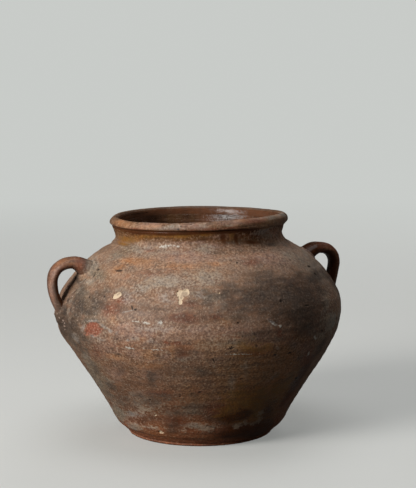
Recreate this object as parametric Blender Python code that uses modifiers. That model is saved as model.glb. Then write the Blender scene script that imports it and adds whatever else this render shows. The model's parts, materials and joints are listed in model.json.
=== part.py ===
"""Twin-handled storage urn in red earthenware, built as the members a potter joins.

The pot stands on a thin base disc. The lower wall sits on the disc's rim, the shoulder
is keyed into the lower wall at the belly, a collar is keyed on the shoulder and a rolled
lip closes the collar. Two strap handles stand on the wall, each held by an upper and a
lower wad of clay, and a thin glaze lines the inside.
Metres, +Z up, origin at the centre of the flat underside, handles along X.
"""
import math

import bmesh
import bpy
from mathutils import Matrix, Vector

# Base disc
BASE_RADIUS = 0.0878
BASE_RIM = 0.0036
BASE_THICKNESS = 0.0092
BASE_EDGE = 0.0014
PLUG_RADIUS = 0.0785

# Wall, whose heights are rises from one level to the next
FOOT_RADIUS = 0.0888
BELLY_RISE = 0.1442
BELLY_RADIUS = 0.1711
SHOULDER_RISE = 0.0922
NECK_RADIUS = 0.1005
COLLAR_RISE = 0.0105
COLLAR_FLARE = 0.0028
WALL = 0.0070

# Seams between the thrown members, measured down or up from the belly and the neck
BELLY_SEAM_DROP = 0.0178
NECK_SEAM_DROP = 0.0065
KEY_DEPTH = 0.0030
LIP_KEY_DEPTH = 0.0036

# Rolled lip
LIP_HEIGHT = 0.0112
LIP_OVERHANG = 0.0034

# Liner glaze
GLAZE = 0.0008
GLAZE_EDGE_DROP = 0.0045

# Strap handles, measured from the wall at the belly
STRAP_THICKNESS = 0.0130
STRAP_WIDTH = 0.0230
HANDLE_REACH = 0.0102
HANDLE_CROWN_RISE = 0.0624
HANDLE_CROWN_INSET = 0.0108
HANDLE_SIDE_RISE = 0.0425
UPPER_ROOT_INSET = 0.0340
UPPER_ROOT_DROP = 0.0105
LOWER_ROOT_INSET = 0.0060
RIGHT_HANDLE_LIFT = 0.0045
RIGHT_HANDLE_INSET = 0.0042

# Clay wads that hold the handles: along the wall, across it and out from it
UPPER_WAD = (0.0165, 0.0235, 0.0062)
LOWER_WAD = (0.0170, 0.0175, 0.0066)
UPPER_WAD_DROP = 0.0010
LOWER_WAD_DROP = 0.0060

# Clearances and mesh resolution
JOINT_GAP = 0.0003
MERGE = 0.00001
TURN_STEPS = 48
STRAP_SIDES = 3
STRAP_STEPS = 7
WAD_SEGMENTS = 24
WAD_RINGS = 12
FINE_ROWS = 12
SMOOTH_ANGLE = math.radians(35)

# Outline of the lower wall: shares of the height and of the radius from foot to belly
FLANK_SHARES = ((0.0, 0.0), (0.035, 0.066), (0.085, 0.156), (0.190, 0.254), (0.410, 0.486),
                (0.650, 0.752), (0.790, 0.896), (0.890, 0.970), (1.0, 1.0))
# Outline of the shoulder: shares of the height and of the radius from belly to neck
SHOULDER_SHARES = ((0.0, 0.0), (0.200, 0.038), (0.330, 0.126), (0.430, 0.221), (0.550, 0.348),
                   (0.680, 0.528), (0.780, 0.705), (0.862, 0.876), (0.925, 0.968), (1.0, 1.0))
# Outline of the collar above the neck: shares of its height and of its flare
COLLAR_SHARES = ((0.0, 0.0), (0.50, 0.28), (1.0, 1.0))
# Section of the lip: shares across from the inner wall to the lip's edge, and up its height
LIP_SHARES = ((0.38, 1.0), (0.62, 0.93), (0.85, 0.74), (1.0, 0.46), (0.94, 0.24), (0.78, 0.05))
LIP_INSIDE_SHARES = ((0.03, 0.30), (0.10, 0.70), (0.24, 0.93))
# Rows of points on each member, outside and inside
LOWER_ROWS = 11
SHOULDER_ROWS = 10
COLLAR_ROWS = 4
# Growth of the strap's section at the roots, the crown and the side
ROOT_GROWTH_SHARES = (1.85, 1.06, 0.98, 1.20)
# Lengths of the curve handles that shape the strap, as shares of the stretch they bend
CURVE_SHARES = (0.45, 0.40, 0.60, 0.60, 0.40, 0.35)
ROOT_SLOPE_SHARE = 0.50
LOWER_SLOPE_SHARE = 0.60

# Colours (red, green, blue), roughness
CLAY = ((0.30, 0.165, 0.115), 0.70)
FOOT_CLAY = ((0.36, 0.15, 0.085), 0.75)
LIP_CLAY = ((0.33, 0.19, 0.13), 0.55)
COLLAR_GLAZE = ((0.36, 0.20, 0.06), 0.35)
STRAP_CLAY = ((0.30, 0.14, 0.09), 0.55)
WAD_CLAY = ((0.25, 0.19, 0.145), 0.85)
LINER_GLAZE = ((0.17, 0.065, 0.035), 0.15)

# Levels of the pot, worked out from the sizes above
FOOT_LEVEL = BASE_RIM + JOINT_GAP
BELLY_LEVEL = BASE_RIM + BELLY_RISE
NECK_LEVEL = BELLY_LEVEL + SHOULDER_RISE
LIP_LEVEL = NECK_LEVEL + COLLAR_RISE
CREST_LEVEL = LIP_LEVEL + LIP_HEIGHT


def clear_scene():
    for obj in list(bpy.data.objects):
        bpy.data.objects.remove(obj, do_unlink=True)


def new_collection(name):
    collection = bpy.data.collections.new(name)
    bpy.context.scene.collection.children.link(collection)
    return collection


def clay_material(name, finish):
    colour, roughness = finish
    material = bpy.data.materials.new(name)
    material.use_nodes = True
    shader = material.node_tree.nodes["Principled BSDF"]
    shader.inputs["Base Color"].default_value = (*colour, 1.0)
    shader.inputs["Roughness"].default_value = roughness
    shader.inputs["Metallic"].default_value = 0.0
    material.diffuse_color = (*colour, 1.0)
    return material


def slopes(steps, values):
    """Slope at each point of a curve that never swings past its own points."""
    chords = [(b - a) / step for a, b, step in zip(values, values[1:], steps)]
    result = [chords[0]]
    for before, after in zip(chords, chords[1:]):
        same_way = before * after > 0
        result.append(2 * before * after / (before + after) if same_way else 0.0)
    result.append(chords[-1])
    return result


def smooth_line(stations, rows):
    """Points on a smooth line through the stations, with rows of them in each span."""
    steps = [(b - a).length for a, b in zip(stations, stations[1:])]
    across = slopes(steps, [point.x for point in stations])
    up = slopes(steps, [point.y for point in stations])
    line = []
    for index, step in enumerate(steps):
        start, end = stations[index], stations[index + 1]
        turn = Vector((across[index], up[index])) * step
        turn_end = Vector((across[index + 1], up[index + 1])) * step
        for row in range(rows):
            t = row / rows
            weight = t * t * (3 - 2 * t)
            bend = turn * (t * (1 - t) ** 2) - turn_end * (t * t * (1 - t))
            line.append(start.lerp(end, weight) + bend)
    line.append(stations[-1])
    return line


def span(shares, low, high):
    """Stations at shares of the way up and across between two (radius, height) points."""
    return [Vector((low.x + across * (high.x - low.x), low.y + up * (high.y - low.y)))
            for up, across in shares]


def outer_line():
    """The outside of the pot from the foot to the lip, as (radius, height) points."""
    foot = Vector((FOOT_RADIUS, FOOT_LEVEL))
    belly = Vector((BELLY_RADIUS, BELLY_LEVEL))
    neck = Vector((NECK_RADIUS, NECK_LEVEL))
    lip = Vector((NECK_RADIUS + COLLAR_FLARE, LIP_LEVEL))
    stations = span(FLANK_SHARES, foot, belly)
    stations += span(SHOULDER_SHARES, belly, neck)[1:]
    stations += span(COLLAR_SHARES, neck, lip)[1:]
    return smooth_line(stations, FINE_ROWS)


def line_frame(line, height):
    """Point, upward direction and outward normal of a rising line at a height."""
    for start, end in zip(line, line[1:]):
        if end.y >= height:
            break
    share = min(max((height - start.y) / (end.y - start.y), 0.0), 1.0)
    along = (end - start).normalized()
    return start.lerp(end, share), along, Vector((along.y, -along.x))


def wall_rows(line, low, high, count):
    """Heights from low to high, spread evenly along the line."""
    inside = [point for point in line if low < point.y < high]
    path = [line_frame(line, low)[0]] + inside + [line_frame(line, high)[0]]
    lengths = [0.0]
    for start, end in zip(path, path[1:]):
        lengths.append(lengths[-1] + (end - start).length)
    rows = []
    for row in range(count + 1):
        target = lengths[-1] * row / count
        index = next(i for i, length in enumerate(lengths) if length >= target * (1 - MERGE))
        if index == 0:
            rows.append(low)
            continue
        share = (target - lengths[index - 1]) / (lengths[index] - lengths[index - 1])
        rows.append(path[index - 1].lerp(path[index], min(share, 1.0)).y)
    return rows


def offset(line, height, depth):
    """The wall's point at a height, moved in by a depth square to the surface."""
    point, _, normal = line_frame(line, height)
    return point - normal * depth


def inside_points(line, heights, depth, floor):
    """Points of the inside at the wall's own rows, from where it meets the floor."""
    fine = [offset(line, point.y, depth) for point in line]
    points = [offset(line, height, depth) for height in heights]
    return [line_frame(fine, floor)[0]] + [point for point in points if point.y > floor + WALL / 2]


def seam(line, height, key, lift):
    """Keyed face across the wall, from outside to inside, lifted clear by the joint gap."""
    point, along, normal = line_frame(line, height)
    slant = math.hypot(1.0, 2 * key / WALL)
    rise = along * (lift * slant)
    ridge = point - normal * (WALL / 2) + along * key
    return [point + rise, ridge + rise, point - normal * WALL + rise]


def turned(name, outline, collection, finish, closed):
    """Body of revolution from (radius, height) points that run down the outer side."""
    edges = [(i, i + 1) for i in range(len(outline) - 1)]
    if closed:
        edges.append((len(outline) - 1, 0))
    mesh = bpy.data.meshes.new(name)
    mesh.from_pydata([(point.x, 0.0, point.y) for point in outline], edges, [])
    obj = bpy.data.objects.new(name, mesh)
    collection.objects.link(obj)
    screw = obj.modifiers.new("Turn", "SCREW")
    screw.axis = "Z"
    screw.angle = math.tau
    screw.steps = TURN_STEPS
    screw.render_steps = TURN_STEPS
    screw.use_merge_vertices = True
    screw.merge_threshold = MERGE
    screw.use_smooth_shade = True
    if finish:
        mesh.materials.append(clay_material(name + "_clay", finish))
    return obj


def make_base_disc(parts):
    """Slab with a thin rim that carries the wall and a raised plug inside it."""
    outline = [Vector((0.0, BASE_THICKNESS)),
               Vector((PLUG_RADIUS, BASE_THICKNESS)),
               Vector((PLUG_RADIUS, BASE_RIM)),
               Vector((BASE_RADIUS, BASE_RIM)),
               Vector((BASE_RADIUS, BASE_EDGE)),
               Vector((BASE_RADIUS - BASE_EDGE, 0.0)),
               Vector((0.0, 0.0))]
    turned("base_disc", outline, parts, FOOT_CLAY, closed=False)


def make_lower_wall(parts, line, rows):
    outside = [line_frame(line, height)[0] for height in reversed(rows[:-1])]
    inside = inside_points(line, rows[:-1], WALL, BASE_THICKNESS)
    bore = PLUG_RADIUS + JOINT_GAP
    foot = [Vector((bore, FOOT_LEVEL)), Vector((bore, BASE_THICKNESS))]
    outer, ridge, inner = seam(line, rows[-1], -KEY_DEPTH, 0.0)
    outline = [outer] + outside + foot + inside + [inner, ridge]
    turned("lower_wall", outline, parts, CLAY, closed=True)


def make_wall_member(name, parts, line, rows, keys, finish):
    """Wall member between two keyed seams."""
    outside = [line_frame(line, height)[0] for height in reversed(rows[1:-1])]
    inside = [offset(line, height, WALL) for height in rows[1:-1]]
    top = seam(line, rows[-1], keys[1], 0.0)
    bottom = seam(line, rows[0], keys[0], JOINT_GAP)
    outline = [top[0]] + outside + bottom + inside + [top[2], top[1]]
    turned(name, outline, parts, finish, closed=True)


def lip_point(across, up, inner, edge):
    return Vector((inner + across * (edge - inner), LIP_LEVEL + up * LIP_HEIGHT))


def make_rolled_lip(parts, line):
    """Rolled lip whose underside is grooved over the collar's edge."""
    bottom = seam(line, LIP_LEVEL, LIP_KEY_DEPTH, JOINT_GAP)
    inner = bottom[2].x
    edge = bottom[0].x + LIP_OVERHANG
    outside = [lip_point(across, up, inner, edge) for across, up in LIP_SHARES]
    inside = [lip_point(across, up, inner, edge) for across, up in LIP_INSIDE_SHARES]
    turned("rolled_lip", outside + bottom + inside, parts, LIP_CLAY, closed=True)


def make_liner_glaze(parts, line, rows):
    """Thin glaze over the floor and the inner wall, up to the lip."""
    floor = BASE_THICKNESS + JOINT_GAP
    outer = inside_points(line, rows, WALL + JOINT_GAP, floor)
    inner = inside_points(line, rows, WALL + JOINT_GAP + GLAZE, floor + GLAZE)
    edge = CREST_LEVEL - GLAZE_EDGE_DROP
    outer.append(Vector((outer[-1].x, edge)))
    inner.append(Vector((inner[-1].x, edge)))
    outline = [Vector((0.0, floor + GLAZE))] + inner
    outline += list(reversed(outer)) + [Vector((0.0, floor))]
    turned("liner_glaze", outline, parts, LINER_GLAZE, closed=False)


def make_wall_cutter(cutters, line, rows):
    """The pot's outside, grown by the joint gap, which trims handles and wads to the wall."""
    outline = [Vector((0.0, LIP_LEVEL))]
    outline += [offset(line, height, -JOINT_GAP) for height in reversed(rows)]
    outline.append(Vector((0.0, FOOT_LEVEL)))
    cutter = turned("wall_cutter", outline, cutters, None, closed=False)
    return as_cutter(cutter)


def as_cutter(obj):
    obj.display_type = "WIRE"
    obj.hide_render = True
    return obj


def handle_path(side, lift, inset):
    """Bezier points of a handle: place, and the two curve handles that shape it."""
    reach = BELLY_RADIUS + HANDLE_REACH - inset
    root = Vector((reach - UPPER_ROOT_INSET - HANDLE_CROWN_INSET, 0.0,
                   BELLY_LEVEL + HANDLE_CROWN_RISE - UPPER_ROOT_DROP + lift))
    crown = Vector((reach - 2 * HANDLE_CROWN_INSET, 0.0, BELLY_LEVEL + HANDLE_CROWN_RISE + lift))
    flank = Vector((reach, 0.0, BELLY_LEVEL + HANDLE_SIDE_RISE + lift))
    end = Vector((BELLY_RADIUS - LOWER_ROOT_INSET, 0.0, BELLY_LEVEL + lift))
    first, second, third, fourth, fifth, sixth = CURVE_SHARES
    climb = crown.x - root.x
    fall = flank.z - end.z
    spread = flank.x - crown.x
    drop = crown.z - flank.z
    root_out = root + Vector((climb * first, 0.0, climb * first * ROOT_SLOPE_SHARE))
    end_in = end + Vector((fall * sixth * LOWER_SLOPE_SHARE, 0.0, fall * sixth))
    points = [(root, 2 * root - root_out, root_out),
              (crown, crown - Vector((climb * second, 0.0, 0.0)),
               crown + Vector((spread * third, 0.0, 0.0))),
              (flank, flank + Vector((0.0, 0.0, drop * fourth)),
               flank - Vector((0.0, 0.0, fall * fifth))),
              (end, end_in, 2 * end - end_in)]
    mirror = Matrix.Diagonal((side, 1.0, 1.0))
    return [[mirror @ place for place in point] for point in points]


def make_strap(name, path, collection, grow, finish):
    """Tube along a handle's path, widened to a strap, as a mesh."""
    curve = bpy.data.curves.new(name + "_curve", "CURVE")
    curve.dimensions = "3D"
    curve.resolution_u = STRAP_STEPS
    curve.bevel_depth = STRAP_THICKNESS / 2 + grow
    curve.bevel_resolution = STRAP_SIDES
    curve.use_fill_caps = True
    spline = curve.splines.new("BEZIER")
    spline.bezier_points.add(len(path) - 1)
    for point, places, growth in zip(spline.bezier_points, path, ROOT_GROWTH_SHARES):
        point.handle_left_type = "FREE"
        point.handle_right_type = "FREE"
        point.co, point.handle_left, point.handle_right = places
        point.radius = growth
    tube = bpy.data.objects.new(name + "_tube", curve)
    tube.scale.y = (STRAP_WIDTH / 2 + grow) / (STRAP_THICKNESS / 2 + grow)
    collection.objects.link(tube)
    bpy.context.view_layer.update()
    mesh = bpy.data.meshes.new_from_object(tube.evaluated_get(bpy.context.evaluated_depsgraph_get()))
    mesh.name = name
    mesh.transform(tube.matrix_world)
    bpy.data.objects.remove(tube, do_unlink=True)
    shell = bmesh.new()
    shell.from_mesh(mesh)
    bmesh.ops.remove_doubles(shell, verts=shell.verts, dist=MERGE)
    bmesh.ops.recalc_face_normals(shell, faces=shell.faces)
    shell.to_mesh(mesh)
    shell.free()
    strap = bpy.data.objects.new(name, mesh)
    collection.objects.link(strap)
    mesh.materials.clear()
    if finish:
        mesh.materials.append(clay_material(name + "_clay", finish))
    return strap


def trim(obj, cutter):
    cut = obj.modifiers.new("Trim to " + cutter.name, "BOOLEAN")
    cut.operation = "DIFFERENCE"
    cut.solver = "EXACT"
    cut.object = cutter


def make_wad(name, parts, line, side, height, sizes):
    """Flattened lump of clay on the wall, at a height, lying along the wall."""
    point, along, normal = line_frame(line, height)
    length, width, depth = sizes
    axes = Matrix(((along.x * side, 0.0, normal.x * side),
                   (0.0, 1.0, 0.0),
                   (along.y, 0.0, normal.y))).to_4x4()
    place = Matrix.Translation((point.x * side, 0.0, point.y))
    shape = place @ axes @ Matrix.Diagonal((length, width, depth, 1.0))
    lump = bmesh.new()
    bmesh.ops.create_uvsphere(lump, u_segments=WAD_SEGMENTS, v_segments=WAD_RINGS, radius=1.0,
                              matrix=shape)
    bmesh.ops.recalc_face_normals(lump, faces=lump.faces)
    mesh = bpy.data.meshes.new(name)
    lump.to_mesh(mesh)
    lump.free()
    mesh.materials.append(clay_material(name + "_clay", WAD_CLAY))
    wad = bpy.data.objects.new(name, mesh)
    parts.objects.link(wad)
    return wad


def wall_crossing(path, line, first, last):
    """Height at which a handle's path goes through the outside of the wall."""
    steps = FINE_ROWS * FINE_ROWS
    (start, _, leave), (end, arrive, _) = path[first], path[last]
    crossing = start.z
    for step in range(steps + 1):
        t = step / steps
        s = 1 - t
        place = start * s ** 3 + leave * (3 * s * s * t) + arrive * (3 * s * t * t) + end * t ** 3
        outside = abs(place.x) > line_frame(line, place.z)[0].x
        if outside == (first == 0):
            return place.z
        crossing = place.z
    return crossing


def make_handle(name, side, path, parts, cutters, line, wall_cutter):
    """One strap handle with its upper and lower wads, all trimmed to the wall."""
    strap = make_strap(name + "_handle", path, parts, 0.0, STRAP_CLAY)
    trim(strap, wall_cutter)
    grown = as_cutter(make_strap(name + "_strap_cutter", path, cutters, JOINT_GAP, None))
    upper = wall_crossing(path, line, 0, 1) - UPPER_WAD_DROP
    lower = wall_crossing(path, line, 2, 3) - LOWER_WAD_DROP
    for title, height, sizes in (("upper", upper, UPPER_WAD), ("lower", lower, LOWER_WAD)):
        wad = make_wad(f"{name}_{title}_wad", parts, line, side, height, sizes)
        trim(wad, wall_cutter)
        trim(wad, grown)


def shade(collection):
    for obj in collection.objects:
        obj.data.shade_smooth()
        obj.data.set_sharp_from_angle(angle=SMOOTH_ANGLE)


def main():
    clear_scene()
    parts = new_collection("twin_handled_urn")
    cutters = new_collection("cutters")
    line = outer_line()
    belly_seam = BELLY_LEVEL - BELLY_SEAM_DROP
    neck_seam = NECK_LEVEL - NECK_SEAM_DROP
    lower_rows = wall_rows(line, FOOT_LEVEL, belly_seam, LOWER_ROWS)
    shoulder_rows = wall_rows(line, belly_seam, neck_seam, SHOULDER_ROWS)
    collar_rows = wall_rows(line, neck_seam, LIP_LEVEL, COLLAR_ROWS)
    all_rows = lower_rows + shoulder_rows[1:] + collar_rows[1:]
    make_base_disc(parts)
    make_lower_wall(parts, line, lower_rows)
    make_wall_member("shoulder_wall", parts, line, shoulder_rows, (-KEY_DEPTH, KEY_DEPTH), CLAY)
    make_wall_member("neck_collar", parts, line, collar_rows, (KEY_DEPTH, LIP_KEY_DEPTH),
                     COLLAR_GLAZE)
    make_rolled_lip(parts, line)
    make_liner_glaze(parts, line, all_rows)
    wall_cutter = make_wall_cutter(cutters, line, all_rows)
    left_path = handle_path(-1.0, 0.0, 0.0)
    right_path = handle_path(1.0, RIGHT_HANDLE_LIFT, RIGHT_HANDLE_INSET)
    make_handle("left", -1.0, left_path, parts, cutters, line, wall_cutter)
    make_handle("right", 1.0, right_path, parts, cutters, line, wall_cutter)
    shade(parts)


main()
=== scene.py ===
"""Twin-handled storage urn in old red earthenware: the fine model, its finishes and its stage.

Each piece of the pot has an operator of its own, and so has the stage. Metres, +Z up, in the
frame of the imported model. The photographed side is turned a little from the handles' plane.
"""
import itertools
import json
import math

import bmesh
import bpy
import numpy as np
from bpy.props import FloatProperty, FloatVectorProperty, IntProperty, PointerProperty
from mathutils import Matrix, Vector

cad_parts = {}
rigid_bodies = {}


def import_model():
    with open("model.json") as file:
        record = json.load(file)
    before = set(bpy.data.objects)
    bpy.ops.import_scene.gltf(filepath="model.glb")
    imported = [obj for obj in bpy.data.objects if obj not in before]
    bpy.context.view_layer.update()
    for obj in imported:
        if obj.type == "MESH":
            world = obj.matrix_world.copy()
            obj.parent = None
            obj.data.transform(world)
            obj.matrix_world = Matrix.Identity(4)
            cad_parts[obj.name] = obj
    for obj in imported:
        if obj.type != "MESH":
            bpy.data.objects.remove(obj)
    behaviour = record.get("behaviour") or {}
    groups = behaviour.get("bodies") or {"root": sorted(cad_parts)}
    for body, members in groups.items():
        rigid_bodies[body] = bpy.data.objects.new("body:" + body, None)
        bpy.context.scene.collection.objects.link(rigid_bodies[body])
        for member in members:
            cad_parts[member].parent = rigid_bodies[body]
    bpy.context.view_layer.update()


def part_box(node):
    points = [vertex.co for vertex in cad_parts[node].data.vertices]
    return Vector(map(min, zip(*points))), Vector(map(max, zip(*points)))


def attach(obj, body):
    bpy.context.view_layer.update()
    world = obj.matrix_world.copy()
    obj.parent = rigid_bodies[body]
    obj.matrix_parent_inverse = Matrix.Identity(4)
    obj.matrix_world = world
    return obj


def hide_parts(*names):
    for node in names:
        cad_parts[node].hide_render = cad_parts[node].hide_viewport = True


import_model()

bl_info = {
    "name": "Twin-handled urn",
    "version": (1, 0, 0),
    "blender": (4, 5, 0),
    "location": "View3D > Sidebar > Urn",
    "description": "Models an old earthenware urn with two strap handles",
    "category": "Object",
}

# The photographed side: to its right, and towards the viewer
VIEW_TURN = math.radians(-20)
SIDE = Vector((math.cos(VIEW_TURN), math.sin(VIEW_TURN), 0.0))
FRONT = Vector((math.sin(VIEW_TURN), -math.cos(VIEW_TURN), 0.0))

# The photograph's size in pixels, and the camera that took it: its place to the side of the pot's
# axis, before it and up, its pitch down, its focal length and its sensor in millimetres
PHOTO_SIZE = (416, 488)
CAMERA_PLACE = (0.0095, -1.65, 0.4305)
CAMERA_PITCH = math.radians(7.08)
CAMERA_LENS = 102.17
SENSOR_WIDTH = 36.0
CAMERA_CLIP = (0.05, 50.0)

# Ends of the wall's three stretches, as (radius, height)
FOOT = (0.0888, 0.0039)
BELLY = (0.1711, 0.1478)
NECK = (0.1005, 0.2400)
COLLAR_TOP = (0.1033, 0.2505)
# Outline of each stretch: shares of its height and of its change in radius, from its lower end
FLANK_SHARES = (
    (0.035, 0.066), (0.085, 0.156), (0.190, 0.254), (0.410, 0.486), (0.650, 0.752),
    (0.790, 0.896), (0.890, 0.970), (1.0, 1.0),
)
SHOULDER_SHARES = (
    (0.200, 0.038), (0.330, 0.126), (0.430, 0.221), (0.550, 0.348), (0.680, 0.528),
    (0.780, 0.705), (0.862, 0.876), (0.925, 0.968), (1.0, 1.0),
)
COLLAR_SHARES = ((0.50, 0.28), (1.0, 1.0))
# Rows of the outline between two of these points
OUTLINE_ROWS = 3
# How far the neck is drawn in beyond that outline, as (height, depth)
NECK_HOLLOW = (
    (0.2290, 0.0), (0.2309, 0.0007), (0.2331, 0.0010), (0.2352, 0.0011), (0.2376, 0.0009),
    (0.2400, 0.0006), (0.2417, 0.0004), (0.2435, 0.0),
)
# Broad swells and hollows of the wall, as (degrees from the photographed front, height, half
# length round the pot, half width up the wall, lift)
SWELLS = (
    (-92, 0.1225, 0.1000, 0.0210, 0.0025), (-90, 0.2255, 0.0900, 0.0110, -0.0012),
    (-90, 0.0600, 0.1000, 0.0420, -0.0007), (90, 0.1400, 0.1000, 0.0280, -0.0009),
)
# Thickness of the wall, and the rows of points on its inside
WALL = 0.0070
INNER_ROWS = 12
# Values that each point of a turned piece keeps from its section
SECTION_LAYERS = ("radius", "level", "rise", "depth")
# Steps of the first, coarse turn of a section, before its faces are divided
COARSE_STEPS = 48
# How far the rings of the pot stand off its axis, to the right: (height, offset)
LEAN_STATIONS = (
    (0.000, 0.0), (0.090, 0.0), (0.100, -0.0003), (0.110, -0.0010), (0.125, -0.0014),
    (0.135, -0.0016), (0.150, -0.0010), (0.170, -0.0004), (0.200, 0.0018), (0.214, 0.0024),
    (0.224, 0.0024), (0.232, 0.0), (0.240, -0.0018), (0.250, -0.0017), (0.262, -0.0012),
)
# The rim's waves in height, and the levels between which they set in
RIM_TILT = 0.0022
RIM_TWIST = 0.0012
RIM_WAVE_LEVELS = (0.2280, 0.2500)
# How much higher the rim is on the photographed side
RIM_FRONT_LIFT = 0.0009

# Section of the rolled lip as (radius, height), round from its inner foot
LIP_SECTION = (
    (0.0952, 0.2503), (0.0950, 0.2530), (0.0953, 0.2560), (0.0960, 0.2584), (0.0971, 0.2602),
    (0.0985, 0.2613), (0.1000, 0.2617), (0.1016, 0.2614), (0.1032, 0.2606), (0.1047, 0.2594),
    (0.1059, 0.2579), (0.1066, 0.2564), (0.1068, 0.2551), (0.1065, 0.2541), (0.1056, 0.2535),
    (0.1044, 0.2531), (0.1035, 0.2525), (0.1030, 0.2516), (0.1028, 0.2508), (0.1026, 0.2503),
)
# How far the lip's lower edge sags, as (degrees from the photographed front, drop)
FOLD_STATIONS = (
    (-180, 0.0), (-40, 0.0), (-5, 0.0004), (10, 0.0016), (30, 0.0026), (50, 0.0034), (75, 0.0040),
    (110, 0.0036), (150, 0.0010), (180, 0.0),
)
# Levels and radii between which the sag sets in, downwards and outwards
FOLD_LEVELS = (0.2580, 0.2540)
FOLD_RADII = (0.1032, 0.1044)
# Share of the sag by which the edge is drawn in at the sides, and where that sets in: degrees from
# the front, and levels
TUCK_SHARE = 0.65
TUCK_DEGREES = (62, 87)
TUCK_LEVELS = (0.2562, 0.2540)
# Levels between which the lip comes free of the collar
LIP_FREE_LEVELS = (0.2508, 0.2523)
SLIT_DEPTH = 0.0007
# Level on the lip's inner face up to which the liner glaze covers it, and where it ends outwards
LIP_GLAZE_TOP = 0.2598
LIP_GLAZE_FADE = 0.0012
LIP_GLAZE_RADII = (0.0985, 0.0975)
# Level under which the fold's edge is darkened, as burnt glaze and as painted shade under the lip,
# how far it sinks with the sag, its fade and its start
BURNT_AND_SHADE_TOP = 0.2541
BURNT_AND_SHADE_SAG = (0.2, 0.0007)
BURNT_AND_SHADE_FADE = 0.0008
BURNT_AND_SHADE_RADII = (0.1000, 0.1015)
# Deep, middle and pale tone of the lip and of the foot
LIP_TONES = ((0.170, 0.086, 0.046), (0.240, 0.132, 0.076), (0.310, 0.190, 0.120))
FOOT_TONES = ((0.180, 0.060, 0.028), (0.290, 0.100, 0.045), (0.330, 0.150, 0.080))

# The base disc: radius of the plug inside the wall, level of the rim under the wall, faces round
# it, where the points on the rim's top and on the underside start and end and how many there are,
# section of the rim's edge as (distance in from the rim, height), and where the edge is ragged
PLUG_RADIUS = 0.0780
DISC_LEVEL = 0.0036
DISC_STEPS = 528
DISC_TOP_INSETS = (0.0020, 0.0008)
DISC_TOP_POINTS = 6
DISC_BASE_INSET = 0.006
DISC_BASE_POINTS = 16
DISC_EDGE = ((0.0003, 0.0033), (0.0, 0.0026), (0.0, 0.0018), (0.0004, 0.0010), (0.0012, 0.0002),
             (0.0022, 0.0))
RAGGED_RADII = (0.0800, 0.0860)
RAGGED_LEVELS = (0.0045, 0.0035)

# The liner: faces round it, distance of its two sides from the wall's inside and the points on
# them, height over its floor at which they start, and the floor's thickness, first ring and points
LINER_STEPS = 480
LINER_FACE = 0.0011
LINER_BACK = 0.0003
LINER_FACE_POINTS = 190
LINER_START = 0.004
LINER_FLOOR = 0.0008
LINER_FIRST_RING = 0.004
LINER_FLOOR_POINTS = 24
# Its round corner: reach, height, points, and how far in from the face its sharp corner would be
LINER_CORNER_REACH = 0.018
LINER_CORNER_HEIGHT = 0.017
LINER_CORNER_POINTS = 14
LINER_CORNER_INSET = 0.001
# Its rings: pitch, height, levels between which they set in, the stretch over which they end at
# the top, and how far they may cut into the glaze
LINER_RING_PITCH = 0.0085
LINER_RING_HEIGHT = 0.00028
LINER_RING_LEVELS = (0.014, 0.024)
LINER_TOP_FADE = 0.003
LINER_CUT = 0.0003

# Fine relief of each piece: size of the lumps, their height and seed. The wall's dents are shares
# of a setting, and a wad's seeds are added to its own
WALL_DENTS = ((0.065, 1.0, 3), (0.020, 0.35, 4), (0.006, 0.12, 5))
LIP_LUMPS = ((0.030, 0.0005, 31), (0.008, 0.00022, 32))
LIP_WAVES = ((0.026, 0.0004, 33), (0.006, 0.00012, 34))
DISC_LUMPS = ((0.012, 0.0006, 21), (0.0035, 0.0004, 22))
STRAP_LUMPS = {-1: ((0.012, 0.0004, 10), (0.004, 0.00012, 12)),
               1: ((0.012, 0.0004, 12), (0.004, 0.00012, 12))}
LINER_LUMPS = ((0.03, 0.0002, 42),)
WAD_LUMPS = ((0.0030, 0.00030, 2),)
# How noise changes the rings' strength and phase, the depth in a mark that cuts into the wall, and
# the outline and thickness of a wad, in the same terms
RING_STRENGTH = 0.6
RING_FADES = ((0.045, 0.4, 1),)
RING_SHIFTS = ((0.05, 0.9, 2),)
LINER_RING_SHIFTS = ((0.04, 1.0, 41),)
MARK_EDGES = ((0.0024, 0.18, 6),)
WAD_EDGES = ((0.011, 0.22, 0), (0.004, 0.08, 0))
WAD_FULLNESS = 0.75
WAD_SWELLS = ((0.009, 0.25, 1),)
# Numbers that make a fixed chance for each cell of that noise, and the step from seed to seed
NOISE_WAYS = (12.9898, 78.233, 37.719)
NOISE_GAIN = 43758.5453
NOISE_STRIDE = 17.31
# Gap left at the joints between the wall's members
SEAM_GAP = 0.00003
# Distance from a member's ends within which its mesh isn't refined, and the refined patch's margin
FINE_MARGIN = 0.004
FINE_REACH = 0.0015

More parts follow.
